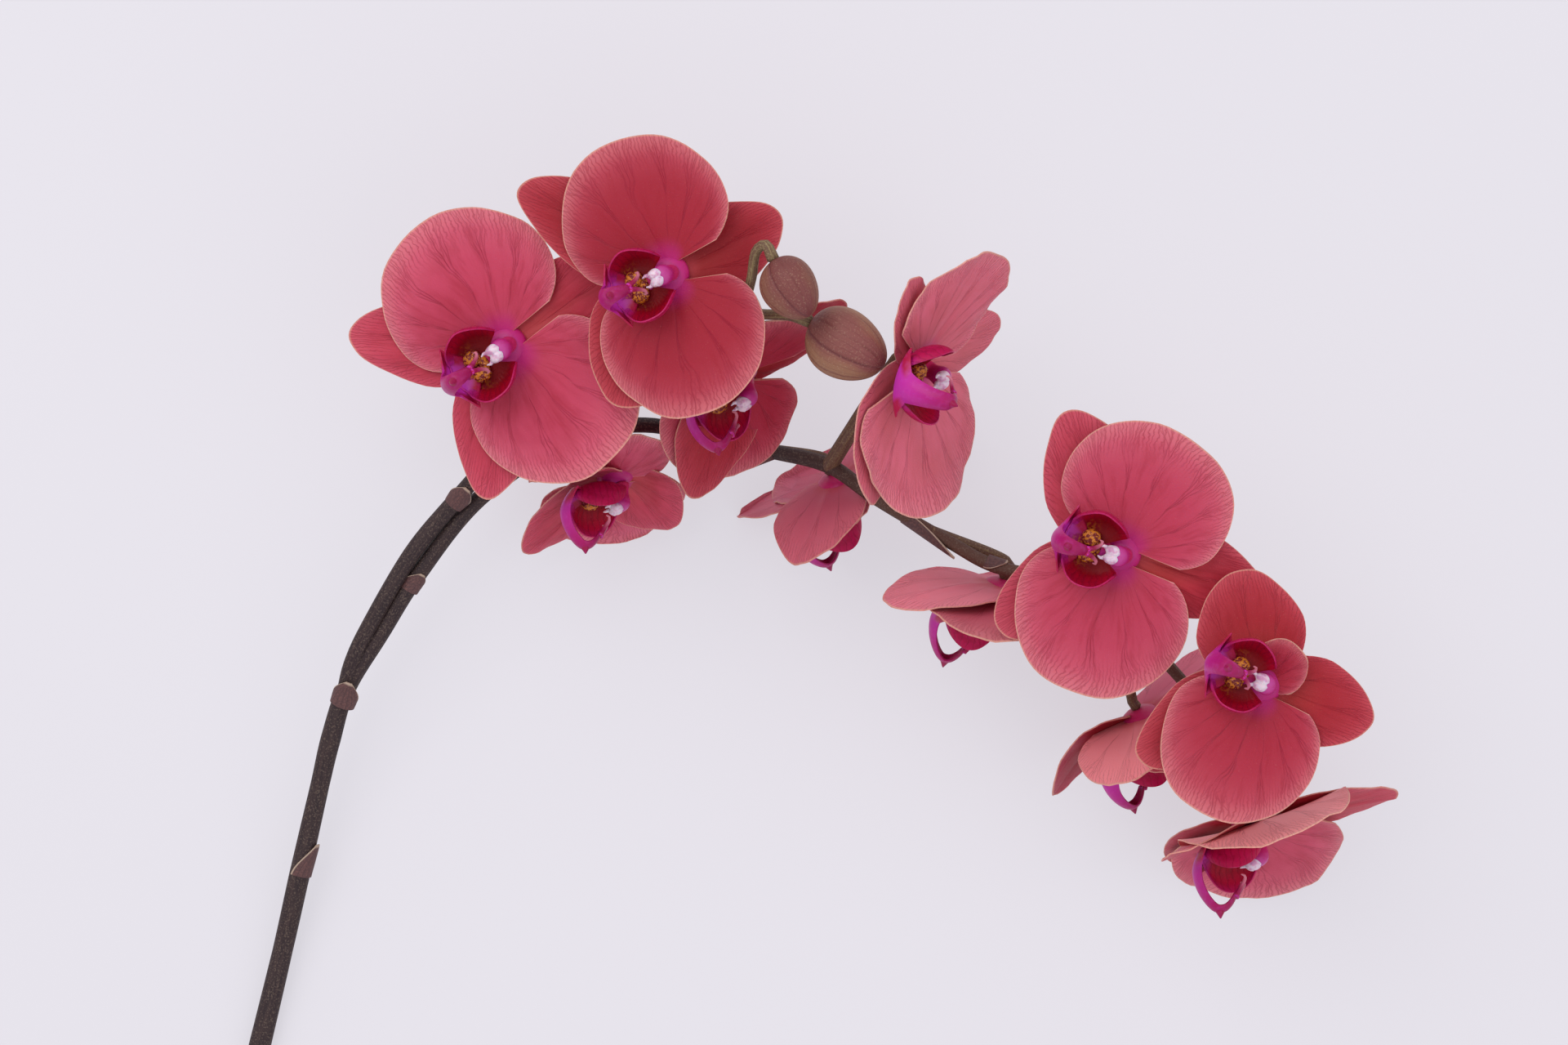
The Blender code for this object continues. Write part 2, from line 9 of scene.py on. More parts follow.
import bpy
import numpy as np
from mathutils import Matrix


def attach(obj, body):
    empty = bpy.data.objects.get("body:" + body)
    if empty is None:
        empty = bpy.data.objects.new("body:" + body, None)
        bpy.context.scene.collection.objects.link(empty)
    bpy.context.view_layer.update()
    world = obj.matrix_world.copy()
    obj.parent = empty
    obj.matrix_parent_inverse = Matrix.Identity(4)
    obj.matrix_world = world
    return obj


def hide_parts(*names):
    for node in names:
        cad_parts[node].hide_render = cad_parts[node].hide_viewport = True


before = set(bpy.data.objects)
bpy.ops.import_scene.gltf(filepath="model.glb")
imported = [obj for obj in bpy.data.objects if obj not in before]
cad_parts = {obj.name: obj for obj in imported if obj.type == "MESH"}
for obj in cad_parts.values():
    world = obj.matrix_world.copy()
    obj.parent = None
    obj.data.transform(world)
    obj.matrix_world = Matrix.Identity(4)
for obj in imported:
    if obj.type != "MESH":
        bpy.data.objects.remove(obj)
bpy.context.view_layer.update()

MM = 0.001
TURN = 2 * math.pi
GAP = 0.3
SPRAY_MIDDLE = np.array([6.0, -41.7, 0.0])

# Petals and sepals
BLADE = 0.8
CLAW_REACH = 0.05  # share of a blade's length that is its narrow foot
PETAL = dict(
    length=46.0, width=54.5, fan=math.radians(135), root=2.5, spread=0.80, point=0.0, shoulder=0.06,
    fullness=0.86,
)
SEPAL = dict(
    length=46.5, width=29.0, fan=math.radians(150), root=2.5, spread=0.62, point=0.25, shoulder=0.0,
    fullness=1.0,
)
OPEN_PETAL = dict(PETAL, fan=math.radians(118))  # leaves more room beside the lip
# Each blade of a bloom seen from the front: its form, the way that it points, its pitch forward,
# its height over the centre, its bend along and across (backward is negative) and its wave. A bloom's
# own blade may also be stretched along, slimmed across or rolled about its length.
PETAL_HOLD = dict(form=PETAL, pitch=4, height=-0.5, bend=-2, cup=-2, wave=0.8)
SEPAL_HOLD = dict(form=SEPAL, pitch=-1, height=-3.0, bend=-1, cup=-0.5, wave=0.4)
BLADES = {
    "petal_left": dict(PETAL_HOLD, points=175),
    "petal_right": dict(PETAL_HOLD, points=7),
    "sepal_top": dict(SEPAL_HOLD, points=90, bend=-2),
    "sepal_left": dict(SEPAL_HOLD, points=228),
    "sepal_right": dict(SEPAL_HOLD, points=312),
}
RECEPTACLE = dict(radius=6.4, front=1.8, back=-5.4)

# Lip: a cup of two ears and a channelled tongue with side teeth, which hooks forward to a nub and back
LIP_CUP = dict(middle=-7.5, wide=11.0, deep=9.5, floor=4.2, ear=11.0, low=2.5, open_side=150)
LIP_BLADE = 0.9
TONGUE_CHANNEL = 0.25  # depth of its channel as a share of its width
COLUMN_LEAN = 12  # degrees toward the lip

# Blooms from the cut end to the tip: centre, the way that each faces, the way that its top sepal
# points, its size, the share of its lip's reach, and what its own blades change
BLOOMS = {
    "bloom_01": dict(
        at=(-83.5, 52.8, 74), facing=(-0.12, -0.15, 0.98), top=(0.82, 0.57, 0.1), size=0.98,
        petal_left=dict(points=180, slim=1.05), petal_right=dict(stretch=1.05),
        sepal_left=dict(points=232, pitch=0, stretch=1.09),
        sepal_right=dict(points=316, pitch=0, stretch=1.05),
    ),
    "bloom_02": dict(
        at=(-52, 13.2, 36), facing=(0.17, -0.89, 0.43), top=(0.99, 0.05, -0.27), size=0.93,
        petal_left=dict(pitch=0, stretch=0.55, slim=0.62), petal_right=dict(slim=0.92),
        sepal_top=dict(points=45, pitch=23, stretch=0.72),
        sepal_left=dict(points=244, pitch=6, bend=6, roll=-25, stretch=0.76, slim=0.8),
        sepal_right=dict(points=322, pitch=16, stretch=0.97, slim=0.9),
    ),
    "bloom_03": dict(
        at=(-34, 73, 98), facing=(-0.20, -0.09, 0.97), top=(0.90, 0.40, 0.20), size=0.93,
        petal_left=dict(points=180, slim=1.02), petal_right=dict(points=-12),
        sepal_top=dict(points=94, pitch=-14, stretch=0.87),
        sepal_left=dict(points=216, pitch=1, stretch=1.24),
        sepal_right=dict(points=313, pitch=1, slim=1.35),
    ),
    "bloom_04": dict(
        at=(-13.5, 44.5, 61), facing=(0.28, -0.79, 0.53), top=(0.93, 0.34, -0.1), size=0.96,
        petal_left=dict(pitch=8, stretch=0.58),
        petal_right=dict(points=-20, pitch=14, stretch=0.96, slim=0.85),
        sepal_top=dict(points=86, pitch=-15, stretch=0.92), sepal_left=dict(stretch=0.75, pitch=-10),
        sepal_right=dict(points=329, pitch=21, stretch=1.06),
    ),
    "bloom_05": dict(
        at=(17, 11, 23), facing=(0.43, -0.82, -0.38), top=(0.83, 0.52, -0.18), tongue=0.8,
        petal_left=dict(points=212, pitch=18, stretch=0.5, slim=0.45),
        petal_right=dict(pitch=4, stretch=0.75, slim=0.7),
        sepal_left=dict(points=220, pitch=3, bend=3, roll=-8, stretch=0.92, slim=1.05),
        sepal_right=dict(points=322, pitch=9, stretch=0.92, slim=0.75),
    ),
    "bloom_06": dict(
        at=(40, 46.3, 86), facing=(0.74, -0.38, 0.55), top=(0.60, 0.18, -0.78),
        petal_left=dict(form=OPEN_PETAL, points=162, pitch=8, bend=6, stretch=0.92, slim=0.68),
        petal_right=dict(form=OPEN_PETAL, points=8, pitch=11, bend=6, slim=0.95),
        sepal_top=dict(points=97, slim=0.8),
        sepal_left=dict(points=203, pitch=7, stretch=0.72, slim=0.6),
        sepal_right=dict(points=335, bend=10, stretch=0.93, slim=1.1),
    ),
    "bloom_07": dict(
        at=(67, -22, 37), facing=(-0.12, -0.93, -0.35), top=(1, -0.12, -0.02),
        petal_left=dict(pitch=-4, bend=2, stretch=0.96), petal_right=dict(pitch=20, stretch=0.8),
        sepal_left=dict(points=230, pitch=-10, bend=8, slim=1.05),
        sepal_right=dict(pitch=20, stretch=0.85),
    ),
    "bloom_08": dict(
        at=(99.5, -9, 92), facing=(-0.17, -0.10, 0.98), top=(0.94, -0.32, 0.15), size=0.97,
        petal_left=dict(points=172, stretch=0.91), petal_right=dict(points=0), sepal_top=dict(pitch=-9),
        sepal_left=dict(points=219, slim=1.15), sepal_right=dict(points=320),
    ),
    "bloom_09": dict(
        at=(111, -62, 38), facing=(0.38, -0.87, -0.32), top=(0.79, 0.49, -0.37), tongue=0.88,
        petal_left=dict(pitch=26, stretch=0.58, slim=0.6),
        petal_right=dict(pitch=28, stretch=0.85, slim=0.8),
        sepal_left=dict(points=224, bend=2, stretch=0.95, slim=1.2),
        sepal_right=dict(points=318, pitch=5, bend=16, roll=30, stretch=0.76),
    ),
    "bloom_10": dict(
        at=(141, -47.5, 98), facing=(-0.02, 0.02, 1), top=(0.92, -0.38, 0), size=0.93,
        petal_left=dict(points=160, stretch=0.36, slim=0.34, bend=6),
        petal_right=dict(points=1, slim=0.94), sepal_top=dict(points=93, stretch=0.82),
        sepal_left=dict(points=214, stretch=0.81, slim=1.22), sepal_right=dict(points=324),
    ),
    "bloom_11": dict(
        at=(144, -94.5, 46), facing=(0.12, -0.90, 0.42), top=(0.98, 0.15, 0),
        petal_left=dict(pitch=8, bend=14, roll=12), petal_right=dict(bend=4),
        sepal_left=dict(points=224, pitch=25), sepal_right=dict(points=327, stretch=0.87, slim=1.15),
    ),
}

# Stems: places on the route, each with the radius there
MAIN_STEM = np.array([
    (-174, -197, 3.7, 3.6), (-166.4, -166, 4, 3.5), (-158.8, -135.4, 6.5, 3.2), (-153, -111, 10, 3.3),
    (-146.1, -82.4, 14, 3), (-142.4, -67.9, 17, 3.2), (-137, -51.8, 20, 2.9), (-126, -34.8, 25, 2.7),
    (-113.9, -16.1, 29, 2.7), (-94.3, 7.7, 32, 2.6), (-65.9, 26.5, 32, 2.5), (-43.1, 30.3, 30, 2.4),
    (-22.8, 26, 28, 2.3), (-3.8, 22.1, 29, 2.3), (14.1, 17.5, 35.5, 2.5), (28.9, 6.9, 44, 2),
    (50.1, -5.6, 47, 2), (63.8, -13.1, 49, 2.1), (80, -17, 53, 1.9), (97, -23, 57, 1.9),
    (112, -38, 58, 1.8), (126, -54, 57, 1.7), (135, -68, 53, 1.6), (138, -76, 49, 1.5),
])
SIDE_STEM = np.array([
    (-137.8, -53, 20.3, 2.4), (-135.1, -44.1, 23.3, 2.6), (-129.4, -32.5, 27, 2.6), (-115.4, -9.5, 32.5, 2.7),
    (-101.1, 7.5, 36, 2.6), (-80, 30, 45, 2.1), (-55, 50, 50, 2), (-28, 60, 52, 1.9),
    (-14, 63.5, 54, 1.8),
])
# Stalk of each bloom: where it leaves its stem, its radius, and how far it runs straight behind
STALKS = dict(
    bloom_01=((-80, 30, 45), 2, 11), bloom_02=((-65.9, 26.5, 32), 2, 11),
    bloom_03=((-46, 54, 51), 2, 11), bloom_04=((-22, 61.5, 53), 1.9, 11),
    bloom_05=((-3.8, 22.1, 29), 1.9, 11), bloom_06=((14.1, 17.5, 35.5), 2.1, 8),
    bloom_07=((45, -3, 46.5), 1.8, 11), bloom_08=((80, -17, 53), 1.8, 11),
    bloom_09=((104, -30, 57.5), 1.7, 11), bloom_10=((126, -54, 57), 1.7, 11),
    bloom_11=((138, -76, 49), 1.4, 8),
)
# Sheaths that clasp the stem: foot, the way along the stem, the side that each opens to, its length,
# its radius at the foot, and how far its tip stands off
SHEATHS = [
    ((-153, -111, 10), (5, 20, 3), (0.9, -0.3, 0.3), 11, 3.4, 0.5),
    ((-138.6, -57, 19), (6, 15, 4.5), (-0.1, -0.3, 0.9), 9, 3.6, 0.8),
    ((-117, -20.7, 27.8), (12, 18.5, 4), (0.4, -0.3, 0.9), 7, 2.8, 0.5),
    ((-102.5, 5.5, 35.2), (16, 18, 6), (0, -0.2, 0.9), 8, 2.7, 1.4),
    ((-3.8, 22.1, 29), (-8, -2, -1), (-0.3, -0.9, 0.2), 7, 2.3, 1),
    ((37, 2.1, 45), (21, -12.5, 3), (-0.5, -0.8, 0.2), 20, 2, 1.6),
    ((62, -12, 48.8), (14, -7, 2), (0.4, 0.7, 0.5), 6, 2, 1.2),
]
# Buds: base, tip, widest, and the hooked stalk's route
BUDS = {
    "bud_1": dict(
        base=(-3, 76.5, 109), tip=(7.4, 60, 111), width=16.4, radius=1.5,
        stalk=[(-14, 63.5, 54), (-12.5, 63.5, 75), (-11.5, 65, 92), (-9.5, 72, 100), (-8.3, 79, 105),
               (-5.3, 81, 108)],
    ),
    "bud_2": dict(
        base=(8, 59.4, 89), tip=(29.5, 46.2, 93), width=20.8, radius=1.6,
        stalk=[(-14, 63.5, 54), (-10, 63, 68), (-5, 62, 82), (2, 61.4, 88)],
    ),
}
BUD_LOBES = 0.05
BUD_POINT = 0.26  # how much narrower a bud is toward its tip

# Finer steps and small forms that only the looks have
BLADE_STEPS = (26, 49)
BLADE_ROUND = 0.52  # half of a blade's rounded part as a share of its length
BLADE_EDGE = 0.5  # how much thinner a blade is at its edge, as a share
GROOVE_DEPTH, GROOVE_WIDTH = 0.45, 1.5  # along the middle of each blade
CORNER, CORNER_START = 0.10, 0.82  # how far, and from where on, a blade's two lower corners are rounded
RUFFLE = {"petal": 0.38, "sepal": 0.25}
UNEVEN = 0.006  # how deep the shallow notches round a blade's edge are, as a share of its reach
# Waves of the ruffles and the notches along a blade's edge: how often each turns, and its share
RUFFLE_WAVES = ((5, 1.0), (9, 0.7), (15, 0.35))
NOTCH_WAVES = ((2.6, 1.2), (4.3, 0.9), (7.1, 0.4))
# The lip's cup: where on the way up its floor is full and its wall starts, how wide each makes it, how
# far the wall turns in, the waves of its rim, and where its ears start beside the tongue, in degrees
CUP_FLOOR_FULL, CUP_WALL_START = 0.42, 0.35
CUP_FLOOR, CUP_WALL = 0.7, 0.37
CUP_TURNED_IN = 0.62
CUP_WAVES = 0.012
EAR_START = 25
LIP_EDGE = 0.55
LIP_STEPS = (20, 73)
# The peg that holds the lip
LIP_FOOT = [(0, -3.6, RECEPTACLE["front"] + GAP), (0, -6.6, LIP_CUP["floor"])]
LIP_FOOT_RADII = [2.0, 2.4]
# The tongue's route, up and forward, and its width: the CAD's, rounded at the fold
TONGUE_CURVE = [(0, -12.2, 3.5), (0, -17.3, 5.4), (0, -20, 10), (0, -19.9, 15.4), (0, -18.2, 20.4),
                (0, -15.6, 23.9), (0, -12.8, 24.3), (0, -10.4, 22.6), (0, -8.4, 19.8)]
TONGUE_SPANS = [9, 22, 9.4, 7.4, 6, 5.2, 4.6, 3.6, 2.6]
TONGUE_EDGE = 0.45
TONGUE_COLUMNS = 13
CURVE_STEP = 0.8
NUB_OUT = [0, 1.2, 2.2]
NUB_RADII = np.array([1.5, 0.8, 0.25])
TENDRIL = np.array([(0.6, -8.6, 20.4), (1.1, -7.4, 18.8), (1.8, -6.2, 17.3), (2.7, -5.3, 16.2),
                    (3.5, -5.3, 15.3), (3.7, -6.2, 14.8)])
TENDRIL_RADII = [1, 0.75, 0.6, 0.5, 0.4, 0.22]
CALLUS = [((-2.7, -9.4, 6.9), (2.6, 2.9, 2.3)), ((2.7, -9.4, 6.9), (2.6, 2.9, 2.3)),
          ((0, -7.4, 5.8), (2.4, 1.8, 1.7))]
# The column: its radius at each height, and how far up from the bloom's middle it stands
COLUMN_PROFILE = [(0.6, 1.7), (2.5, 2), (2.5, 5), (2.9, 7), (3.3, 8.6), (3.1, 10.2), (2, 11.3),
                  (0.5, 11.7)]
COLUMN_UP = 1.6
COLUMN_STEP = 0.5
COLUMN_SIDES = 24
ANTHER_AT, ANTHER_SIZE = (0, -1.6, 10.6), (3, 2.7, 2.1)
ANTHER_FOLD, ANTHER_FOLD_WIDTH = 0.22, 0.18
ANTHER_LOBES = 0.1
HORN = np.array([(1.5, -3.6, 10.4), (1.9, -4.8, 10.6), (1.5, -5.7, 11)])
HORN_RADII = np.array([0.8, 0.5, 0.2])
SEAM_DEPTH, SEAM_WIDTH = 0.05, 0.06  # of a bud's three seams
TUBE_DOME = (0.35, 0.55)  # how far a tube's ends stand out, and their radius, as shares of its radius
TUBE_SEAM = (0.3, 0.5, 0.81)  # sets where round a tube its seam starts
STEM_STEP = 2.5
STALK_STEP = 2.0
STALK_SWELL = np.array([1.25, 0.95, 1])
BUD_STALK_STEP = 1.6
BUD_STALK_SWELL = (1.05, 1.25)  # at its last two places
SHEATH_WRAP = (115, 12)  # degrees each way round the stem, at its foot and at its tip
SHEATH_STEPS = (12, 15)
SHEATH_EDGE = 0.4

# How deep each bloom's red is, where less than 0 is paler, and how pink it is, from 0 to 1
TONES = dict(
    bloom_01=(0.15, 0.3), bloom_02=(0, 0.4), bloom_03=(0.8, 0), bloom_04=(0.55, 0.1),
    bloom_05=(0.45, 0.8), bloom_06=(-0.4, 0.8), bloom_07=(0.05, 0.7), bloom_08=(0.3, 0.3),
    bloom_09=(0, 0.8), bloom_10=(0.6, 0), bloom_11=(0, 0.2),
)
# Blades that differ from the rest of their bloom
BLADE_TONES = {("bloom_05", "sepal_left"): (0.4, 0.7), ("bloom_07", "sepal_left"): (-0.4, 0.8),
               ("bloom_07", "petal_left"): (0.9, 0.4), ("bloom_08", "sepal_top"): (0, 0.1),
               ("bloom_09", "sepal_left"): (-1, 0.7), ("bloom_09", "sepal_right"): (0.8, 0.6),
               # bloom_11's left petal is made paler as painted light, on a blade that faces sideways out of
               # the lamps' light
               ("bloom_11", "petal_left"): (-1.25, 0.1)}
BUD_DEPTHS = dict(bud_1=0.5, bud_2=0)  # how dark each is
WARM_STEM = (310, 390)  # how far along the main stem its skin turns to a warmer brown

# Skins of the blades: colours from the claw to the edge in front and behind, the deeper red, the
# veins and how many there are, the rim, the claw, and how far the edge pales
BLADE_SKINS = {
    "petal": dict(
        front={0: (176, 42, 86), 0.15: (186, 54, 80), 0.4: (193, 56, 82), 0.62: (198, 67, 93),
               0.85: (208, 90, 110), 1: (214, 112, 124)},
        back={0: (188, 54, 90), 0.4: (212, 98, 118), 1: (232, 140, 148)},
        deep=(148, 12, 32), vein=(136, 10, 42), veins=9, rim=(218, 168, 144), claw=(186, 30, 118), blush=0.16,
    ),
    "sepal": dict(
        front={0: (202, 84, 68), 0.25: (194, 64, 60), 0.55: (188, 44, 58), 0.85: (192, 60, 76),
               1: (198, 80, 92)},
        back={0: (184, 60, 76), 0.4: (204, 88, 102), 1: (224, 124, 130)},
        deep=(138, 8, 24), vein=(118, 6, 28), veins=6, rim=(214, 162, 140), claw=(190, 64, 76), blush=0,
    ),
}
# Forks of a vein: where the first may start, how far its arms part, how much that place varies, and
# how strong it is
FORKS = ((0.3, 0.17, 0.2, 0.85), (0.5, 0.33, 0.2, 0.75), (0.66, 0.25, 0.14, 0.7), (0.72, 0.42, 0.12, 0.7),
         (0.78, 0.08, 0.1, 0.6))
# Skins of the stems: their ground, streaks and specks
STEM_SKINS = {
    "stem": ((43, 30, 33), (60, 44, 43), (110, 94, 82)),
    "stalk": ((92, 62, 54), (112, 88, 62), (150, 128, 96)),
    "bud_stalk": ((98, 68, 56), (136, 116, 80), (160, 146, 108)),
}

FLOOR_HALF = 3.0
SKY = dict(colour=(0.93, 0.93, 1, 1), strength=0.74)
LAMPS = {
    "key": dict(at=(-0.7, 0.8, 1.5), size=1.4, watts=14, colour=(1, 0.98, 0.96)),
    "fill": dict(at=(0.9, -0.4, 1.3), size=1.6, watts=5, colour=(0.97, 0.97, 1)),
}
CAMERA = dict(at=(-0.006, 0.0417, 1.30), lens=93.75, sensor=36, clip=20)


# Vectors and routes


def unit(vector):
    vector = np.asarray(vector, float)
    return vector / np.linalg.norm(vector)


def bloom_axes(bloom):
    """Columns are the bloom's right, its top and the way that it faces."""
    facing = unit(bloom["facing"])
    top = unit(bloom["top"] - facing * np.dot(bloom["top"], facing))
    return np.stack([np.cross(top, facing), top, facing], axis=1)


def to_world(bloom, points):
    return np.asarray(points, float) @ bloom_axes(bloom).T * bloom.get("size", 1) + bloom["at"]


def tangents(points):
    """The way that a route runs at each of its points."""
    ways = np.gradient(points, axis=0)
    return ways / np.linalg.norm(ways, axis=1)[:, None]


def smooth_route(places, sizes, step):
    """Points on a smooth curve through the places, about a step apart, with their sizes."""
    places = np.asarray(places, float)
    sizes = np.asarray(sizes, float)
    padded = np.vstack([2 * places[0] - places[1], places, 2 * places[-1] - places[-2]])
    points, found = [], []
    for i in range(len(places) - 1):
        p0, p1, p2, p3 = padded[i : i + 4]
        count = max(1, round(np.linalg.norm(p2 - p1) / step))
        t = np.arange(count)[:, None] / count
        points.append(0.5 * (2 * p1 + (p2 - p0) * t + (2 * p0 - 5 * p1 + 4 * p2 - p3) * t**2
                             + (3 * p1 - p0 - 3 * p2 + p3) * t**3))
        found.append(sizes[i] + (sizes[i + 1] - sizes[i]) * t[:, 0])
    return np.vstack([*points, places[-1]]), np.hstack([*found, sizes[-1]])


def grid_of(*values):
    """A grid of points or marks, from values that are each spread over the whole of it."""
    return np.stack(np.broadcast_arrays(*values), axis=-1)


# Meshes


def new_object(name, data):
    ob = bpy.data.objects.new(name, data)
    bpy.context.scene.collection.objects.link(ob)
    return ob


def grid_faces(rows, columns, closed=False):
    """Quads of a grid of points; a closed one joins its last column to its first."""
    index = np.arange(rows * columns).reshape(rows, columns)
    if closed:
        index = np.hstack([index, index[:, :1]])
    return grid_of(index[:-1, :-1], index[1:, :-1], index[1:, 1:], index[:-1, 1:]).reshape(-1, 4)


class Skin:
    """Gathers sheets, tubes and balls, in millimetres, into the mesh of one piece.

    Each point carries two marks for the materials: its place on its own surface, and its kind.
    """

    def __init__(self):
        self.points, self.faces, self.places, self.kinds, self.slots = [], [], [], [], []
        self.count = 0

    def add(self, points, faces, places, kind=(0, 0, 0), slot=0):
        points = np.reshape(points, (-1, 3))
        self.points.append(points)
        self.faces += [tuple(int(i) + self.count for i in face) for face in faces]
        self.places.append(np.reshape(places, (-1, 3)))
        self.kinds.append(np.broadcast_to(kind, (len(points), 3)))
        self.slots += [slot] * len(faces)
        self.count += len(points)

    def sheet(self, grid, thickness, places, **marks):
        """A closed sheet on both sides of a grid; the third mark of a place is 1 on its front."""
        rows, columns = grid.shape[:2]
        normal = np.cross(np.gradient(grid, axis=0), np.gradient(grid, axis=1))
        normal /= np.maximum(np.linalg.norm(normal, axis=-1, keepdims=True), 1e-9)
        half = 0.5 * np.broadcast_to(thickness, (rows, columns))[..., None]
        front = grid_faces(rows, columns)
        count = rows * columns
        back = front[:, ::-1] + count
        index = np.arange(count).reshape(rows, columns)
        edge = np.concatenate([index[:, 0], index[-1, 1:], index[-2::-1, -1], index[0, -2::-1]])
        a, b = edge[:-1], edge[1:]
        faces = [*front, *back, *grid_of(b, a, a + count, b + count)]
        sides = np.stack([grid_of(places[..., 0], places[..., 1], side) for side in (1, 0)])
        self.add(np.stack([grid + normal * half, grid - normal * half]), faces, sides, **marks)

    def rings(self, rings, places, **marks):
        """A round skin over rings of points, with a flat cap at each end."""
        count, sides = rings.shape[:2]
        faces = [face[::-1] for face in grid_faces(count, sides, closed=True)]
        caps = [list(range(sides))[::-1], [i + (count - 1) * sides for i in range(sides)]]
        self.add(rings, faces + caps, places, **marks)

    def tube(self, points, radii, sides=16, **marks):
        """A round tube along points, with domed ends."""
        tangent = tangents(points)
        side = np.cross(tangent[0], TUBE_SEAM)
        frames = []
        for axis in tangent:
            side = unit(side - axis * (side @ axis))
            frames.append((side, np.cross(axis, side)))
        out, narrow = TUBE_DOME
        points = np.vstack([points[0] - tangent[0] * radii[0] * out, points,
                            points[-1] + tangent[-1] * radii[-1] * out])
        radii = np.concatenate([[radii[0] * narrow], radii, [radii[-1] * narrow]])
        frames = [frames[0], *frames, frames[-1]]
        turn = np.linspace(0, TURN, sides, endpoint=False)[:, None]
        rings = [p + r * (np.cos(turn) * u + np.sin(turn) * v) for p, r, (u, v) in zip(points, radii, frames)]
        along = np.concatenate([[0], np.cumsum(np.linalg.norm(np.diff(points, axis=0), axis=1))])
        self.rings(np.stack(rings), grid_of(turn.T / TURN, along[:, None], radii[:, None]), **marks)

    def ball(self, place, rings=14, sides=24, **marks):
        """A ball whose points go where place puts a unit sphere's points."""
        climb = np.linspace(0, math.pi, rings)[:, None]
        turn = np.linspace(0, TURN, sides, endpoint=False)
        sphere = grid_of(np.sin(climb) * np.cos(turn), np.sin(climb) * np.sin(turn), -np.cos(climb))
        faces = [face[::-1] for face in grid_faces(rings, sides, closed=True)]
        self.add(place(sphere.reshape(-1, 3)), faces, grid_of(turn / TURN, climb / math.pi, 0.0), **marks)

    def piece(self, name, node, looks, *worn, sharp=60):
        """The finished piece, which rides on the stem, stands for a CAD node and wears the named looks."""
        mesh = bpy.data.meshes.new(name)
        points = (np.concatenate(self.points) - SPRAY_MIDDLE) * MM
        mesh.from_pydata(points.tolist(), [], self.faces)
        for label, values in (("place", self.places), ("kind", self.kinds)):
            marks = mesh.attributes.new(label, "FLOAT_VECTOR", "POINT")
            marks.data.foreach_set("vector", np.concatenate(values).astype(np.float32).ravel())
        mesh.polygons.foreach_set("material_index", self.slots)
        for look in worn:
            mesh.materials.append(looks[look])
        mesh.shade_smooth()
        mesh.set_sharp_from_angle(angle=math.radians(sharp))
        ob = new_object(name, mesh)
        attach(ob, "root")
        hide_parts(node)


# Materials


def rgb(red, green, blue):
    """A colour given as 0 to 255, as Blender's shaders want it."""
    share = np.array([red, green, blue]) / 255
    linear = np.where(share <= 0.04045, share / 12.92, ((share + 0.055) / 1.055) ** 2.4)
    return (*map(float, linear), 1.0)


def worked(operation, swap=False):
    """A method of Value that works on it, and on another value where there is one."""

    def work(self, other=0.0):
        pair = (other, self) if swap else (self, other)
        return self.shade.node("ShaderNodeMath", dict(enumerate(pair)), operation=operation)

    return work


class Value:
    """What a material's node gives, with plain signs that work on it as on a number."""

    __add__ = __radd__ = worked("ADD")
    __sub__ = worked("SUBTRACT")
    __rsub__ = worked("SUBTRACT", swap=True)
    __mul__ = worked("MULTIPLY")
    __truediv__ = worked("DIVIDE")
    __rtruediv__ = worked("DIVIDE", swap=True)
    __pow__ = worked("POWER")
    __abs__ = worked("ABSOLUTE")
    fract = worked("FRACT")
    floor = worked("FLOOR")
    sine = worked("SINE")
    cosine = worked("COSINE")
    larger = worked("MAXIMUM")

    def __init__(self, shade, socket):
        self.shade = shade
        self.socket = socket

    def step(self, low, high):
        """0 at low and 1 at high, with a soft step between."""
        return self.shade.node("ShaderNodeMapRange", {"Value": self, "From Min": low, "From Max": high},
                               interpolation_type="SMOOTHSTEP")

    def tint(self, factor, colour):
        """This colour mixed toward another."""
        return self.shade.mix(factor, self, colour)


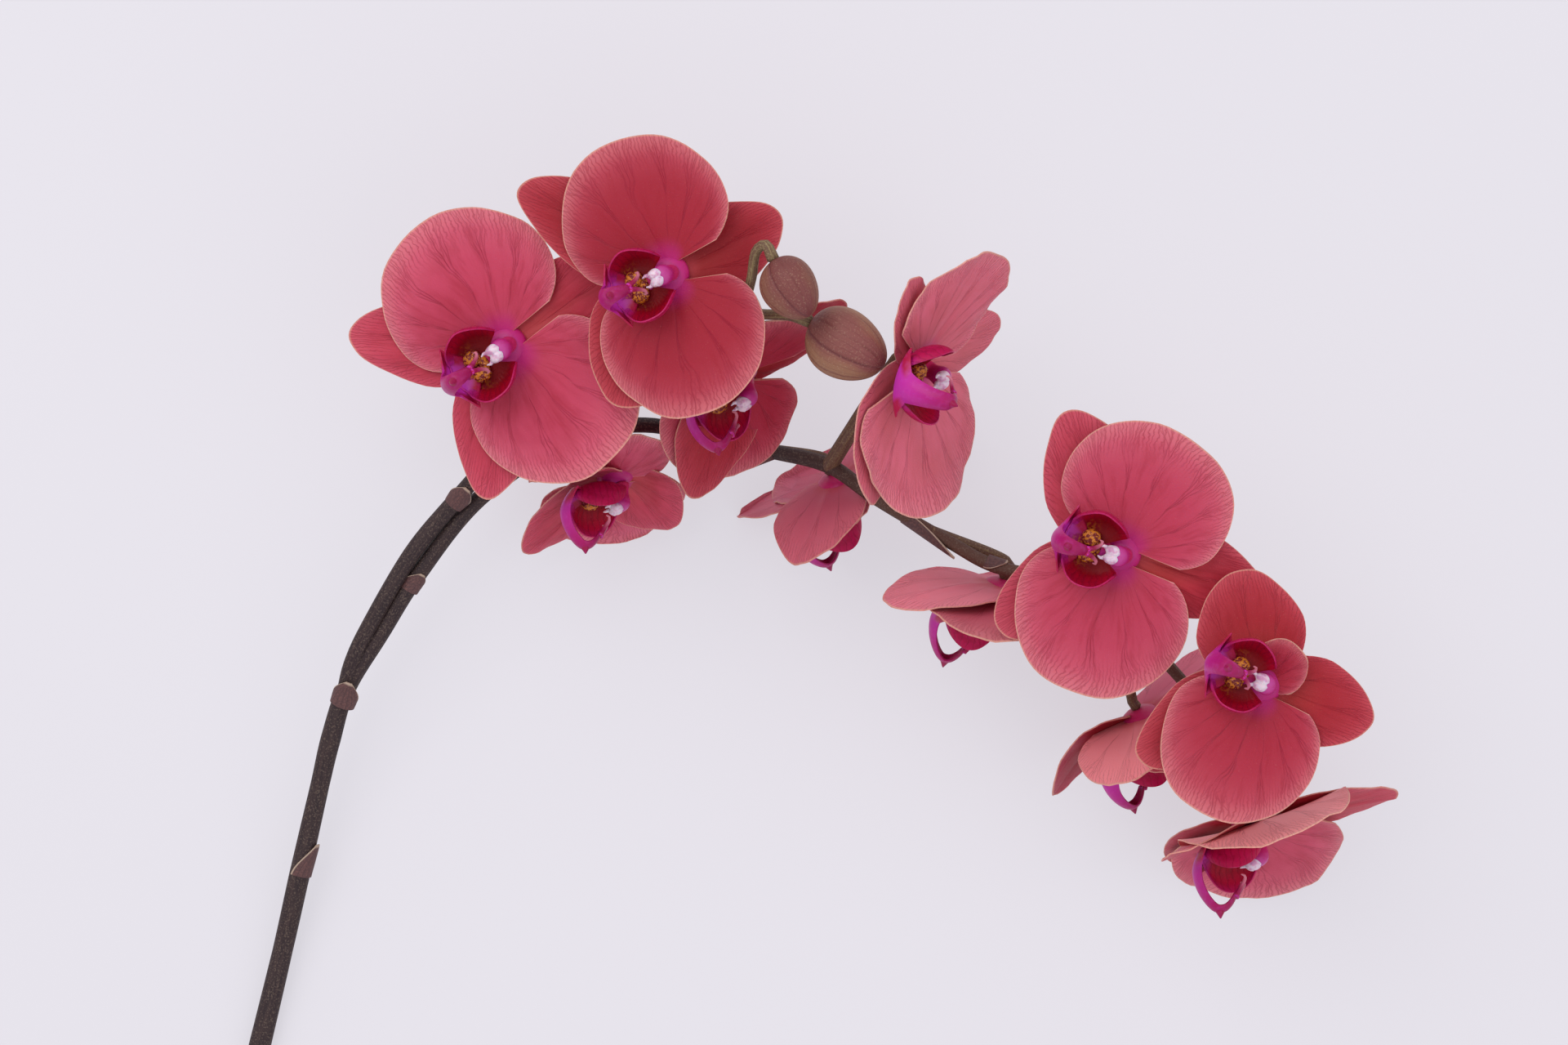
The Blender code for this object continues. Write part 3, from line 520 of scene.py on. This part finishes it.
class Shade:
    """A material's nodes, made and joined in plain calls, with colours given as 0 to 255."""

    def __init__(self, name, specular=0.5, **constants):
        """Constants are named as the shader's inputs, in small letters."""
        self.material = bpy.data.materials.new(name)
        self.material.use_nodes = True
        self.tree = self.material.node_tree
        self.shader = self.tree.nodes["Principled BSDF"]
        self.put(self.shader.inputs["Specular IOR Level"], specular)
        for label, value in constants.items():
            self.put(self.shader.inputs[label.replace("_", " ").title()], value)

    def put(self, socket, value):
        """Joins a value to a socket, or sets it to a number or a colour."""
        if isinstance(value, Value):
            self.tree.links.new(value.socket, socket)
        elif isinstance(value, tuple):
            socket.default_value = rgb(*value)
        else:
            socket.default_value = value

    def node(self, kind, inputs, out=0, **settings):
        made = self.tree.nodes.new(kind)
        for key, value in settings.items():
            setattr(made, key, value)
        for key, value in inputs.items():
            self.put(made.inputs[key], value)
        return Value(self, made.outputs[out])

    def mix(self, factor, first, second):
        return self.node("ShaderNodeMix", {0: factor, 6: first, 7: second}, out=2, data_type="RGBA")

    def ramp(self, value, stops):
        """Colours at places from 0 to 1."""
        made = self.node("ShaderNodeValToRGB", {0: value})
        band = made.socket.node.color_ramp
        while len(band.elements) < len(stops):
            band.elements.new(1.0)
        for element, (place, colour) in zip(band.elements, stops.items()):
            element.position = place
            element.color = rgb(*colour)
        return made

    def mark(self, name):
        """The three numbers of a mark on the mesh."""
        vector = self.node("ShaderNodeAttribute", {}, out="Vector", attribute_name=name)
        split = self.node("ShaderNodeSeparateXYZ", {0: vector}).socket.node
        return [Value(self, output) for output in split.outputs]

    def vector(self, x, y, z):
        return self.node("ShaderNodeCombineXYZ", {0: x, 1: y, 2: z})

    def noise(self, vector, scale, detail, roughness=0.5):
        return self.node("ShaderNodeTexNoise",
                         {"Vector": vector, "Scale": scale, "Detail": detail, "Roughness": roughness})

    def grain(self, scale, detail, roughness=0.5):
        """Noise that runs evenly through the piece, whatever the form of its surface."""
        place = self.node("ShaderNodeTexCoord", {}, out="Object")
        return self.noise(place, scale, detail, roughness)

    def finish(self, colour, roughness, height=None, relief=(0.0003, 0.5)):
        """The material, with relief as the depth of its bumps in metres and their strength."""
        self.put(self.shader.inputs["Base Color"], colour)
        self.put(self.shader.inputs["Roughness"], roughness)
        if height is not None:
            depth, strength = relief
            bump = self.node("ShaderNodeBump", {"Strength": strength, "Distance": depth, "Height": height})
            self.put(self.shader.inputs["Normal"], bump)
        return self.material


def stripes(across, count, half):
    """Lines at even steps across a surface; half is half a line's width as a share of a step."""
    return abs((across * count).fract() - 0.5).step(half, 0)


def fanned_lines(across, reach, count, width, start, end):
    """Lines fanned over a blade, evenly wide, that show from start to end of its reach."""
    return stripes(across, count, width * count / reach.larger(0.12)) * reach.step(start, end)


def forked_veins(shade, across, reach, seed, count, width):
    """Veins fanned over a blade that fork again and again on the way to its edge."""
    scaled = across * count
    off = abs(scaled.fract() - 0.5)
    chance = shade.node("ShaderNodeTexWhiteNoise", {"Vector": shade.vector(scaled.floor(), seed, 0)})
    half = width * count / reach.larger(0.15)
    veins = off.step(half, 0) * reach.step(0.1, 0.4)
    for low, spread, swing, weight in FORKS:
        start = low + chance * swing
        grown = (reach - start) / (1 - start)
        apart = grown.larger(0) ** 0.8 * spread
        line = abs(off - apart).step(half, 0)
        veins = veins.larger(line * (grown.step(0, 0.12) * weight))
    return veins


def blade_lines(shade, place, fan, reach, seed, veins):
    """A blade's veins and the fine lines of its margin, and the wandering fan that they follow."""
    drift = (shade.noise(place, 0.9, 1) - 0.5) * 0.08
    fine = (shade.noise(place, 3.2, 1) - 0.5) * 0.018
    wander = fan - 0.5 + 0.5 / veins + (drift + fine)
    faint = shade.noise(place, 2.6, 3, 0.6).step(0.3, 0.62)
    lines = forked_veins(shade, wander, reach, seed, veins, 0.0019) * (0.3 + faint * 0.7)
    crinkle = (shade.noise(place, 14, 1) - 0.5) * 0.012
    margin = fanned_lines(wander + crinkle, reach, veins * 10, 0.0024, 0.66, 0.92)
    return lines.larger(margin * 0.75), wander


def blade_material(name, front, back, deep, vein, veins, rim, claw, blush):
    """Skin of a petal or sepal: colour from its claw to its edge, branching veins and a pale rim."""
    shade = Shade(name, specular=0.22, subsurface_weight=0.12, subsurface_scale=0.002)
    fan, reach, side = shade.mark("place")
    seed, depth, pink = shade.mark("kind")
    place = shade.vector(fan * 6, reach * 2, seed * 37)
    lines, wander = blade_lines(shade, place, fan, reach, seed, veins)
    rosy = pink * 0.6
    skin = shade.ramp(reach, front).tint(rosy, (204, 90, 128))
    patches = shade.noise(place, 0.8, 3, 0.6).step(0.34, 0.7)
    inner = reach.step(1.05, 0.6) * (patches * 0.45)
    skin = skin.tint(inner.larger(depth * reach.step(1.3, 0.6)), deep)
    streaks = shade.noise(shade.vector(wander * 34, reach * 2.6, seed * 11), 1, 3, 0.6)
    skin = skin.tint(streaks.step(0.46, 0.72) * reach.step(1, 0.72) * 0.3, deep)
    under = shade.ramp(reach, back).tint(rosy, (212, 104, 140))
    under = under.tint(depth * 0.5, deep)
    skin = under.tint(side, skin)
    # Blades whose depth is below 0 are mixed toward pale pink: their own paler colour on most, painted light
    # on bloom_11's left petal
    skin = skin.tint(depth * -0.6, (250, 152, 152))
    skin = skin.tint(reach.step(0.8, 1) * blush, (220, 148, 146))
    skin = skin.tint(lines * (0.46 + side * 0.14), vein)
    skin = skin.tint(reach.step(0.24, 0.05) * 0.8, claw)
    margin = reach.step(0.981, 0.997).larger(abs(fan - 0.5).step(0.494, 0.499))
    skin = skin.tint(margin * 0.6, rim)
    grain = shade.grain(2600, 2)
    skin = skin.tint(grain.step(0.66, 0.78) * 0.14, rim)
    return shade.finish(skin, 0.42 + grain * 0.16, grain * 0.5 - lines * 0.8)


def lip_material():
    """The lip's cup: magenta outside, deep crimson inside, with orange spots and a pinker rim."""
    shade = Shade("lip_cup_skin", specular=0.14, subsurface_weight=0.1, subsurface_scale=0.0015)
    turn, climb, side = shade.mark("place")
    blotch = shade.noise(shade.vector(turn * 9, climb * 3, 0), 2.2, 3)
    inside = shade.ramp(climb, {0: (106, 10, 14), 0.4: (132, 6, 18), 0.6: (168, 8, 40), 0.85: (182, 14, 56),
                                1: (184, 30, 92)})
    outside = shade.ramp(climb, {0: (172, 26, 110), 0.5: (178, 14, 78), 1: (176, 20, 76)})
    skin = outside.tint(side, inside)
    off = abs(turn - 0.5)
    skin = skin.tint(off.step(0.17, 0.06) * climb.step(0.25, 0.6), (190, 44, 158))
    lines = fanned_lines(turn + blotch * 0.05, climb, 26, 0.006, 0.25, 0.6)
    skin = skin.tint(lines * 0.3, (104, 8, 40))
    skin = skin.tint(blotch.step(0.45, 0.75) * 0.35, (118, 8, 30))
    near = off.step(0.34, 0.1) * climb.step(0.52, 0.3)
    spots = shade.grain(1000, 3).step(0.5, 0.6) * (side * near)
    skin = skin.tint(spots * 0.85, (186, 104, 28))
    skin = skin.tint(climb.step(0.986, 0.999) * 0.3, (196, 60, 120))
    grain = shade.grain(2200, 2)
    return shade.finish(skin, 0.3 + grain * 0.16, grain - lines, relief=(0.0002, 0.4))


def tongue_material():
    """The lip's tongue: bright magenta, crimson at its teeth and along its channel."""
    shade = Shade("lip_tongue_skin", specular=0.22, subsurface_weight=0.12, subsurface_scale=0.0015)
    share, along, side = shade.mark("place")
    tendril, _, _ = shade.mark("kind")
    grain = shade.grain(700, 3)
    skin = shade.ramp(along, {0: (172, 22, 96), 0.15: (194, 50, 172), 0.42: (188, 38, 144),
                              0.7: (164, 20, 96), 1: (148, 18, 74)})
    tooth = abs(share - 0.5).step(0.2, 0.34) * along.step(0.34, 0.24)
    skin = skin.tint(tooth, (172, 20, 66))
    skin = skin.tint(side * along.step(0.25, 0.5) * 0.5, (150, 10, 60))
    skin = skin.tint(grain.step(0.45, 0.75) * 0.15, (206, 80, 180))
    skin = skin.tint(tendril * along.step(2, 8) * 0.8, (222, 140, 156))
    return shade.finish(skin, 0.28 + grain * 0.18, grain, relief=(0.0003, 0.35))


def callus_material():
    """The warty crest in the lip: orange yellow, spotted dark red."""
    shade = Shade("callus_skin", specular=0.3)
    spots = shade.grain(900, 3, 0.65)
    fine = shade.grain(2400, 2)
    skin = shade.mix(spots.step(0.46, 0.56), (110, 18, 26), (206, 124, 34))
    skin = skin.tint(fine.step(0.58, 0.72) * 0.6, (232, 160, 150))
    return shade.finish(skin, 0.3 + fine * 0.3, spots, relief=(0.0006, 0.7))


def column_material():
    """The column: dark pink at its foot, more violet toward its cap."""
    shade = Shade("column_skin", specular=0.3, subsurface_weight=0.15, subsurface_scale=0.0015)
    _, share, _ = shade.mark("place")
    grain = shade.grain(900, 3)
    skin = shade.ramp(share, {0: (190, 44, 92), 0.5: (192, 30, 104), 0.8: (180, 30, 116),
                              1: (186, 66, 142)})
    skin = skin.tint(grain.step(0.5, 0.8) * 0.3, (160, 20, 84))
    return shade.finish(skin, 0.32 + grain * 0.16, grain, relief=(0.0003, 0.3))


def anther_material():
    """The pale anther cap, with lilac shade in its folds."""
    shade = Shade("anther_skin", subsurface_weight=0.25, subsurface_scale=0.0012, coat_weight=0.2,
                  coat_roughness=0.25)
    folds = shade.grain(460, 2)
    skin = shade.mix(folds.step(0.52, 0.3), (226, 202, 216), (202, 138, 178))
    return shade.finish(skin, 0.26 + folds * 0.2, folds, relief=(0.0006, 0.5))


def bud_material():
    """A bud's skin: dusty olive rose with dark stripes that meet at its tip."""
    shade = Shade("bud_skin", specular=0.3, subsurface_weight=0.06, subsurface_scale=0.002)
    around, share, _ = shade.mark("place")
    depth, _, _ = shade.mark("kind")
    cloud = shade.grain(130, 3)
    speck = shade.grain(1800, 2)
    skin = shade.ramp(share, {0: (112, 58, 54), 0.45: (134, 78, 72), 0.8: (132, 72, 70),
                              1: (104, 38, 46)})
    olive = ((around * TURN * 2).cosine() + cloud * 1.6).step(0.2, 1.5)
    skin = skin.tint(olive * 0.65, (158, 118, 84))
    wander = around + (cloud - 0.5) * 0.03
    girth = (share * math.pi).sine()
    broad = fanned_lines(wander, girth, 9, 0.011, 0.02, 0.25) * cloud.step(0.32, 0.54)
    thin = fanned_lines(wander, girth, 31, 0.0036, 0.02, 0.25)
    lines = (broad * 0.6).larger(thin * 0.3)
    skin = skin.tint(lines, (104, 46, 44))
    skin = skin.tint(depth, (106, 52, 50))
    seam = fanned_lines(around, girth, 3, 0.012, 0.02, 0.2)
    skin = skin.tint(seam * 0.6, (104, 50, 54))
    skin = skin.tint(speck.step(0.56, 0.7) * 0.25, (190, 158, 130))
    return shade.finish(skin, 0.45 + speck * 0.2, speck - (lines + seam))


def stem_material(name, ground, streak, speck):
    """A stem's skin: a dark ground with long streaks and fine pale specks."""
    shade = Shade(name, specular=0.3)
    around, along, _ = shade.mark("place")
    turn = around * TURN
    streaks = shade.noise(shade.vector(turn.cosine() * 3, turn.sine() * 3, along * 0.06), 1.4, 3)
    dots = shade.grain(1700, 2, 0.6)
    skin = shade.mix(streaks.step(0.35, 0.7), ground, streak)
    skin = skin.tint(along.step(*WARM_STEM) * 0.6, (104, 68, 52))
    skin = skin.tint(dots.step(0.53, 0.64) * 0.48, speck)
    return shade.finish(skin, 0.5 + dots * 0.25, dots + streaks * 1.5)


def sheath_material():
    """A bract: brown plum with long veins, and a dry straw rim."""
    shade = Shade("sheath_skin")
    share, along, _ = shade.mark("place")
    dots = shade.grain(1500, 2)
    skin = shade.mix(dots.step(0.4, 0.7), (80, 50, 50), (102, 66, 62))
    lines = stripes(share, 9, 0.108)
    skin = skin.tint(lines * 0.4, (66, 42, 44))
    rim = abs(share - 0.5).step(0.44, 0.48).larger(along.step(0.88, 0.97))
    skin = skin.tint(rim * 0.75, (196, 172, 150))
    return shade.finish(skin, 0.55 + dots * 0.2, dots - lines)


def floor_material():
    """A pale sheet with a faint glow of its own, as a photographer's lit table has."""
    shade = Shade("pale_floor", specular=0.2, emission_color=(240, 237, 244), emission_strength=0.64)
    return shade.finish(shade.mix(shade.grain(3, 2), (128, 126, 130), (132, 130, 134)), 0.9)


# Blooms


def blade_outline(form, fan):
    """Edge of a flat blade, along it and across it, for fan from -1 to 1."""
    angle = fan * form["fan"]
    side = np.sin(angle)
    along = form["length"] * (1 - BLADE_ROUND + BLADE_ROUND * np.cos(angle) - form["shoulder"] * side**2)
    narrowing = 1 - form["point"] * np.maximum(np.cos(angle), 0)
    return along, 0.5 * form["width"] * np.sign(side) * np.abs(side) ** form["fullness"] * narrowing


def blade_height(form, blade, reach, fan, along, across):
    """How far a blade bends forward of its flat form, with its wave and its groove."""
    out = blade["bend"] * (along / form["length"]) ** 2 + blade["cup"] * (2 * across / form["width"]) ** 2
    out = out + blade["wave"] * reach**4 * np.sin(3 * math.pi * fan + blade["points"])
    groove = GROOVE_DEPTH * np.exp(-((across / GROOVE_WIDTH) ** 2))
    return out - groove * np.clip(reach * 5, 0, 1) * (1 - reach**2)


def turned(first, second, degrees):
    """Two coordinates of a place, turned from the first toward the second."""
    angle = math.radians(degrees)
    return (first * math.cos(angle) - second * math.sin(angle),
            first * math.sin(angle) + second * math.cos(angle))


def blade_place(form, blade, reach, fan, lift):
    """Place on a blade in its bloom's frame, for reach from its root to its edge, raised by lift."""
    edge_along, edge_across = blade_outline(form, fan)
    along = form["root"] + reach * (edge_along - form["root"])
    across = edge_across * reach ** form["spread"] * blade.get("slim", 1)
    out = blade_height(form, blade, reach, fan, along, across) + lift
    across, out = turned(across, out, blade.get("roll", 0))
    ahead, up = turned(along * blade.get("stretch", 1), out, blade["pitch"])
    x, y = turned(ahead, across, blade["points"])
    return grid_of(x, y, up + blade["height"])


def waves(fan, parts, phases, base):
    """Sum of waves along a blade's edge, each raised by base before it is weighed."""
    return sum(share * (base + np.sin(turns * math.pi * fan + phase))
               for (turns, share), phase in zip(parts, phases))


def add_blade(skin, bloom, name, seed, tones):
    """One petal or sepal, with a ruffled edge that thins out."""
    blade = {**BLADES[name], **bloom.get(name, {})}
    chance = np.random.RandomState(seed)
    rows, columns = BLADE_STEPS
    steps = CLAW_REACH + (1 - CLAW_REACH) * np.linspace(0, 1, rows) ** 0.9
    reach, fan = np.meshgrid(steps, np.linspace(-1, 1, columns), indexing="ij")
    corner = np.clip((np.abs(fan) - CORNER_START) / (1 - CORNER_START), 0, 1)
    phases = chance.uniform(0, TURN, len(RUFFLE_WAVES))
    notches = waves(fan, NOTCH_WAVES, phases[::-1], 1)
    edge = reach * (1 - CORNER * corner**2 - UNEVEN * reach**2 * notches)
    kind = name.split("_")[0]
    lift = RUFFLE[kind] * waves(fan, RUFFLE_WAVES, phases, 0) * edge**6
    grid = to_world(bloom, blade_place(blade["form"], blade, edge, fan, lift))
    grid[..., 2] = np.maximum(grid[..., 2], 0.5 * BLADE)
    thickness = BLADE * (1 - BLADE_EDGE * edge**3)
    places = grid_of(0.5 + 0.5 * fan, reach)
    skin.sheet(grid, thickness, places, kind=(chance.uniform(), *tones), slot=int(kind == "sepal"))


def make_blades(name, bloom, looks, seed):
    skin = Skin()
    for index, blade in enumerate(BLADES):
        add_blade(skin, bloom, blade, seed * 10 + index, BLADE_TONES.get((name, blade), TONES[name]))
    radius, front, back = (RECEPTACLE[part] for part in ("radius", "front", "back"))
    size = (radius, radius, 0.5 * (front - back))
    middle = (0, 0, 0.5 * (front + back))
    skin.ball(lambda ball: to_world(bloom, ball * size + middle), kind=(0.5, 0, 0), slot=2)
    skin.piece(name + "_petals", name + "_tepals", looks, "petal", "sepal", "column")


def lip_cup_place(turn, climb):
    """Place on the lip's cup: turn goes round it from the tongue, climb from its middle to its rim."""
    side = np.radians(turn)
    span = LIP_CUP["open_side"] - EAR_START
    ear = np.sin(np.clip(np.abs(turn) - EAR_START, 0, span) / span * math.pi) ** 0.8
    height = LIP_CUP["low"] + (LIP_CUP["ear"] - LIP_CUP["low"]) * ear
    floor = np.minimum(climb / CUP_FLOOR_FULL, 1)
    wall = np.clip((climb - CUP_WALL_START) / (1 - CUP_WALL_START), 0, 1)
    bulge = CUP_FLOOR * floor + CUP_WALL * np.sin(wall * math.pi * CUP_TURNED_IN)
    bulge = bulge + CUP_WAVES * climb**4 * np.sin(7 * side)
    x = LIP_CUP["wide"] * np.sin(side) * bulge
    y = LIP_CUP["middle"] - LIP_CUP["deep"] * np.cos(side) * bulge
    z = LIP_CUP["floor"] + height * wall**1.2
    return grid_of(x, y, z)


def add_tongue(skin, bloom):
    """The channelled tongue with its side teeth, its nub and two curling tendrils."""
    factor = bloom.get("tongue", 1)
    route = np.array(TONGUE_CURVE)
    fold = route[1, 2]
    route[2:, 2] = fold + (route[2:, 2] - fold) * factor
    points, widths = smooth_route(route, TONGUE_SPANS, CURVE_STEP)
    tangent = tangents(points)
    inward = grid_of(0, tangent[:, 2], -tangent[:, 1])
    share = np.linspace(-1, 1, TONGUE_COLUMNS)
    rise = TONGUE_CHANNEL * np.minimum(widths, TONGUE_SPANS[0])
    grid = points[:, None] + inward[:, None] * (rise[:, None] * share**2)[..., None]
    grid[..., 0] += 0.5 * widths[:, None] * share
    places = grid_of(0.5 + 0.5 * share, np.linspace(0, 1, len(points))[:, None])
    thickness = LIP_BLADE * (1 - TONGUE_EDGE * share**4)
    skin.sheet(to_world(bloom, grid), thickness, places, slot=1)
    top = np.argmax(points[:, 2])
    nub = [points[top] - inward[top] * out for out in NUB_OUT]
    skin.tube(to_world(bloom, nub), NUB_RADII * bloom.get("size", 1), sides=10, slot=1)
    for way in (-1, 1):
        tendril = TENDRIL * [way, 1, 1]
        tendril[:, 2] = fold + (tendril[:, 2] - fold) * factor
        curl, radii = smooth_route(to_world(bloom, tendril), TENDRIL_RADII, CURVE_STEP)
        skin.tube(curl, radii, sides=8, slot=1, kind=(1, 0, 0))


def warts(ball):
    """A lumpy swelling over a unit ball."""
    x, y, z = ball.T * 5.0
    return (1 + 0.16 * np.sin(x * 1.7 + 1) * np.sin(y * 1.9) * np.cos(z * 1.6 + 0.5))[:, None]


def make_lip(name, bloom, looks):
    skin = Skin()
    rows, columns = LIP_STEPS
    open_side = LIP_CUP["open_side"]
    climb, turn = np.meshgrid(np.linspace(0.02, 1, rows), np.linspace(-open_side, open_side, columns),
                              indexing="ij")
    places = grid_of(turn / (2 * open_side) + 0.5, climb)
    skin.sheet(to_world(bloom, lip_cup_place(turn, climb)), LIP_BLADE * (1 - LIP_EDGE * climb**3), places)
    add_tongue(skin, bloom)
    for middle, size in CALLUS:
        skin.ball(lambda ball, m=middle, s=size: to_world(bloom, m + ball * s * warts(ball)), slot=2)
    skin.tube(to_world(bloom, LIP_FOOT), LIP_FOOT_RADII)
    skin.piece(name + "_labellum", name + "_lip", looks, "lip", "tongue", "callus")


def column_place(bloom, height, radius, around):
    """Place on the column, which leans toward the lip."""
    lean = (height - RECEPTACLE["front"]) * math.sin(math.radians(COLUMN_LEAN))
    up = COLUMN_UP + radius * np.sin(around) - lean
    return to_world(bloom, grid_of(radius * np.cos(around), up, height))


def anther_place(bloom, ball):
    """Place on the anther cap, which is folded down its middle and lobed toward the lip."""
    x, y, _ = ball.T
    swell = 1 - ANTHER_FOLD * np.exp(-((x / ANTHER_FOLD_WIDTH) ** 2)) - ANTHER_LOBES * np.cos(5 * x) * (y < 0)
    return to_world(bloom, ANTHER_AT + ball * ANTHER_SIZE * swell[:, None])


def make_column(name, bloom, looks):
    skin = Skin()
    profile, _ = smooth_route(COLUMN_PROFILE, np.zeros(len(COLUMN_PROFILE)), COLUMN_STEP)
    around = np.linspace(0, TURN, COLUMN_SIDES, endpoint=False)
    radius, height = profile[:, :1], profile[:, 1:]
    share = (height - height[0]) / (height[-1] - height[0])
    skin.rings(column_place(bloom, height, radius, around), grid_of(around / TURN, share, 0))
    skin.ball(lambda ball: anther_place(bloom, ball), rings=18, sides=30, slot=1)
    for way in (-1, 1):
        horn = to_world(bloom, HORN * [way, 1, 1])
        skin.tube(horn, HORN_RADII * bloom.get("size", 1), sides=8, slot=1)
    skin.piece(name + "_pillar", name + "_column", looks, "column", "anther")


# Buds


def make_bud(name, bud, looks):
    base, tip = np.array(bud["base"]), np.array(bud["tip"])
    axis = unit(tip - base)
    side = unit(np.cross(axis, (0, 0, 1)))
    bud_axes = np.stack([side, np.cross(axis, side), axis], axis=1)
    length = np.linalg.norm(tip - base)

    def egg(sphere):
        x, y, z = sphere.T
        share = 0.5 + 0.5 * z
        around = np.arctan2(y, x)
        radius = np.sin(np.arccos(np.clip(z, -1, 1))) * (1 + BUD_POINT * (0.5 - share))
        off_seam = np.mod(around / TURN * 3, 1) - 0.5
        seam = SEAM_DEPTH * np.exp(-((off_seam / SEAM_WIDTH) ** 2))
        flat = 0.5 * bud["width"] * radius * (1 + BUD_LOBES * np.cos(3 * around) - seam)
        local = grid_of(flat * np.cos(around), flat * np.sin(around), length * share)
        return local @ bud_axes.T + base

    skin = Skin()
    skin.ball(egg, rings=40, sides=72, kind=(BUD_DEPTHS[name], 0, 0))
    skin.piece(name + "_skin", name, looks, "bud", sharp=80)


# Stems


def stalk_route(bloom, start, straight):
    """A bloom's stalk: it leaves its stem and runs straight into the bloom's back."""
    at, facing = np.array(bloom["at"]), unit(bloom["facing"]) * bloom.get("size", 1)
    return [start, at - facing * straight, at + facing * (RECEPTACLE["back"] - GAP)]


def add_sheath(skin, foot, along, opens, length, radius, lift):
    """A pointed scale that wraps half round the stem and stands off it at its tip."""
    rows, columns = SHEATH_STEPS
    axis = unit(along)
    out = unit(opens - axis * np.dot(opens, axis))
    side = np.cross(axis, out)
    climb = np.linspace(0, 1, rows)[:, None, None]
    at_foot, at_tip = SHEATH_WRAP
    wrap = at_foot + (at_tip - at_foot) * climb**1.4
    share = np.linspace(-1, 1, columns)[None, :, None]
    turn = np.radians(wrap * share)
    wall = radius + lift * climb
    grid = foot + axis * length * climb + wall * (out * np.cos(turn) + side * np.sin(turn))
    places = np.concatenate(np.broadcast_arrays(0.5 + 0.5 * share, climb), axis=-1)
    skin.sheet(grid, BLADE * (1 - SHEATH_EDGE * climb[..., 0]), places, slot=2)


def make_spike(looks):
    skin = Skin()
    for stem in (MAIN_STEM, SIDE_STEM):
        points, radii = smooth_route(stem[:, :3], stem[:, 3], STEM_STEP)
        skin.tube(points, radii, sides=28)
    for name, (start, radius, straight) in STALKS.items():
        route = stalk_route(BLOOMS[name], start, straight)
        points, radii = smooth_route(route, radius * STALK_SWELL, STALK_STEP)
        skin.tube(points, radii, sides=18, slot=1)
    for bud in BUDS.values():
        base, tip = np.array(bud["base"]), np.array(bud["tip"])
        route = [*bud["stalk"], base - unit(tip - base) * GAP]
        sizes = np.full(len(route), bud["radius"])
        sizes[-2:] *= BUD_STALK_SWELL
        points, radii = smooth_route(route, sizes, BUD_STALK_STEP)
        skin.tube(points, radii, sides=18, slot=3)
    for sheath in SHEATHS:
        add_sheath(skin, *(np.array(value) for value in sheath))
    skin.piece("spike_skin", "flower_spike", looks, "stem", "stalk", "sheath", "bud_stalk")


# Studio


def add_floor(material):
    mesh = bpy.data.meshes.new("floor")
    corners = [(x * FLOOR_HALF, y * FLOOR_HALF, 0) for x, y in ((-1, -1), (1, -1), (1, 1), (-1, 1))]
    mesh.from_pydata(corners, [], [(0, 1, 2, 3)])
    mesh.materials.append(material)
    new_object("floor", mesh)


def add_lamp(name, at, size, watts, colour):
    """A large soft lamp that points at the middle of the spray."""
    lamp = bpy.data.lights.new(name, "AREA")
    lamp.size = size
    lamp.energy = watts
    lamp.color = colour
    ob = new_object(name, lamp)
    ob.location = at
    ob.rotation_euler = (-ob.location).to_track_quat("-Z", "Y").to_euler()


def add_sky():
    world = bpy.data.worlds.new("studio")
    world.use_nodes = True
    background = world.node_tree.nodes["Background"]
    background.inputs["Color"].default_value = SKY["colour"]
    background.inputs["Strength"].default_value = SKY["strength"]
    bpy.context.scene.world = world


def add_camera():
    """The camera of the photo, which looks straight down."""
    lens = bpy.data.cameras.new("camera")
    lens.lens = CAMERA["lens"]
    lens.sensor_width = CAMERA["sensor"]
    lens.clip_end = CAMERA["clip"]
    camera = new_object("camera", lens)
    camera.location = CAMERA["at"]
    bpy.context.scene.camera = camera


def make_studio():
    add_floor(floor_material())
    add_sky()
    for name, lamp in LAMPS.items():
        add_lamp(name, **lamp)
    add_camera()
    bpy.context.scene.view_settings.view_transform = "Standard"


def make_looks():
    looks = dict(
        lip=lip_material(),
        tongue=tongue_material(),
        callus=callus_material(),
        column=column_material(),
        anther=anther_material(),
        bud=bud_material(),
        sheath=sheath_material(),
    )
    for name, skin in BLADE_SKINS.items():
        looks[name] = blade_material(name + "_skin", **skin)
    for name, colours in STEM_SKINS.items():
        looks[name] = stem_material(name + "_skin", *colours)
    return looks


def main():
    looks = make_looks()
    make_studio()
    make_spike(looks)
    for name, bud in BUDS.items():
        make_bud(name, bud, looks)
    for seed, (name, bloom) in enumerate(BLOOMS.items(), start=1):
        make_blades(name, bloom, looks, seed)
        make_lip(name, bloom, looks)
        make_column(name, bloom, looks)


main()
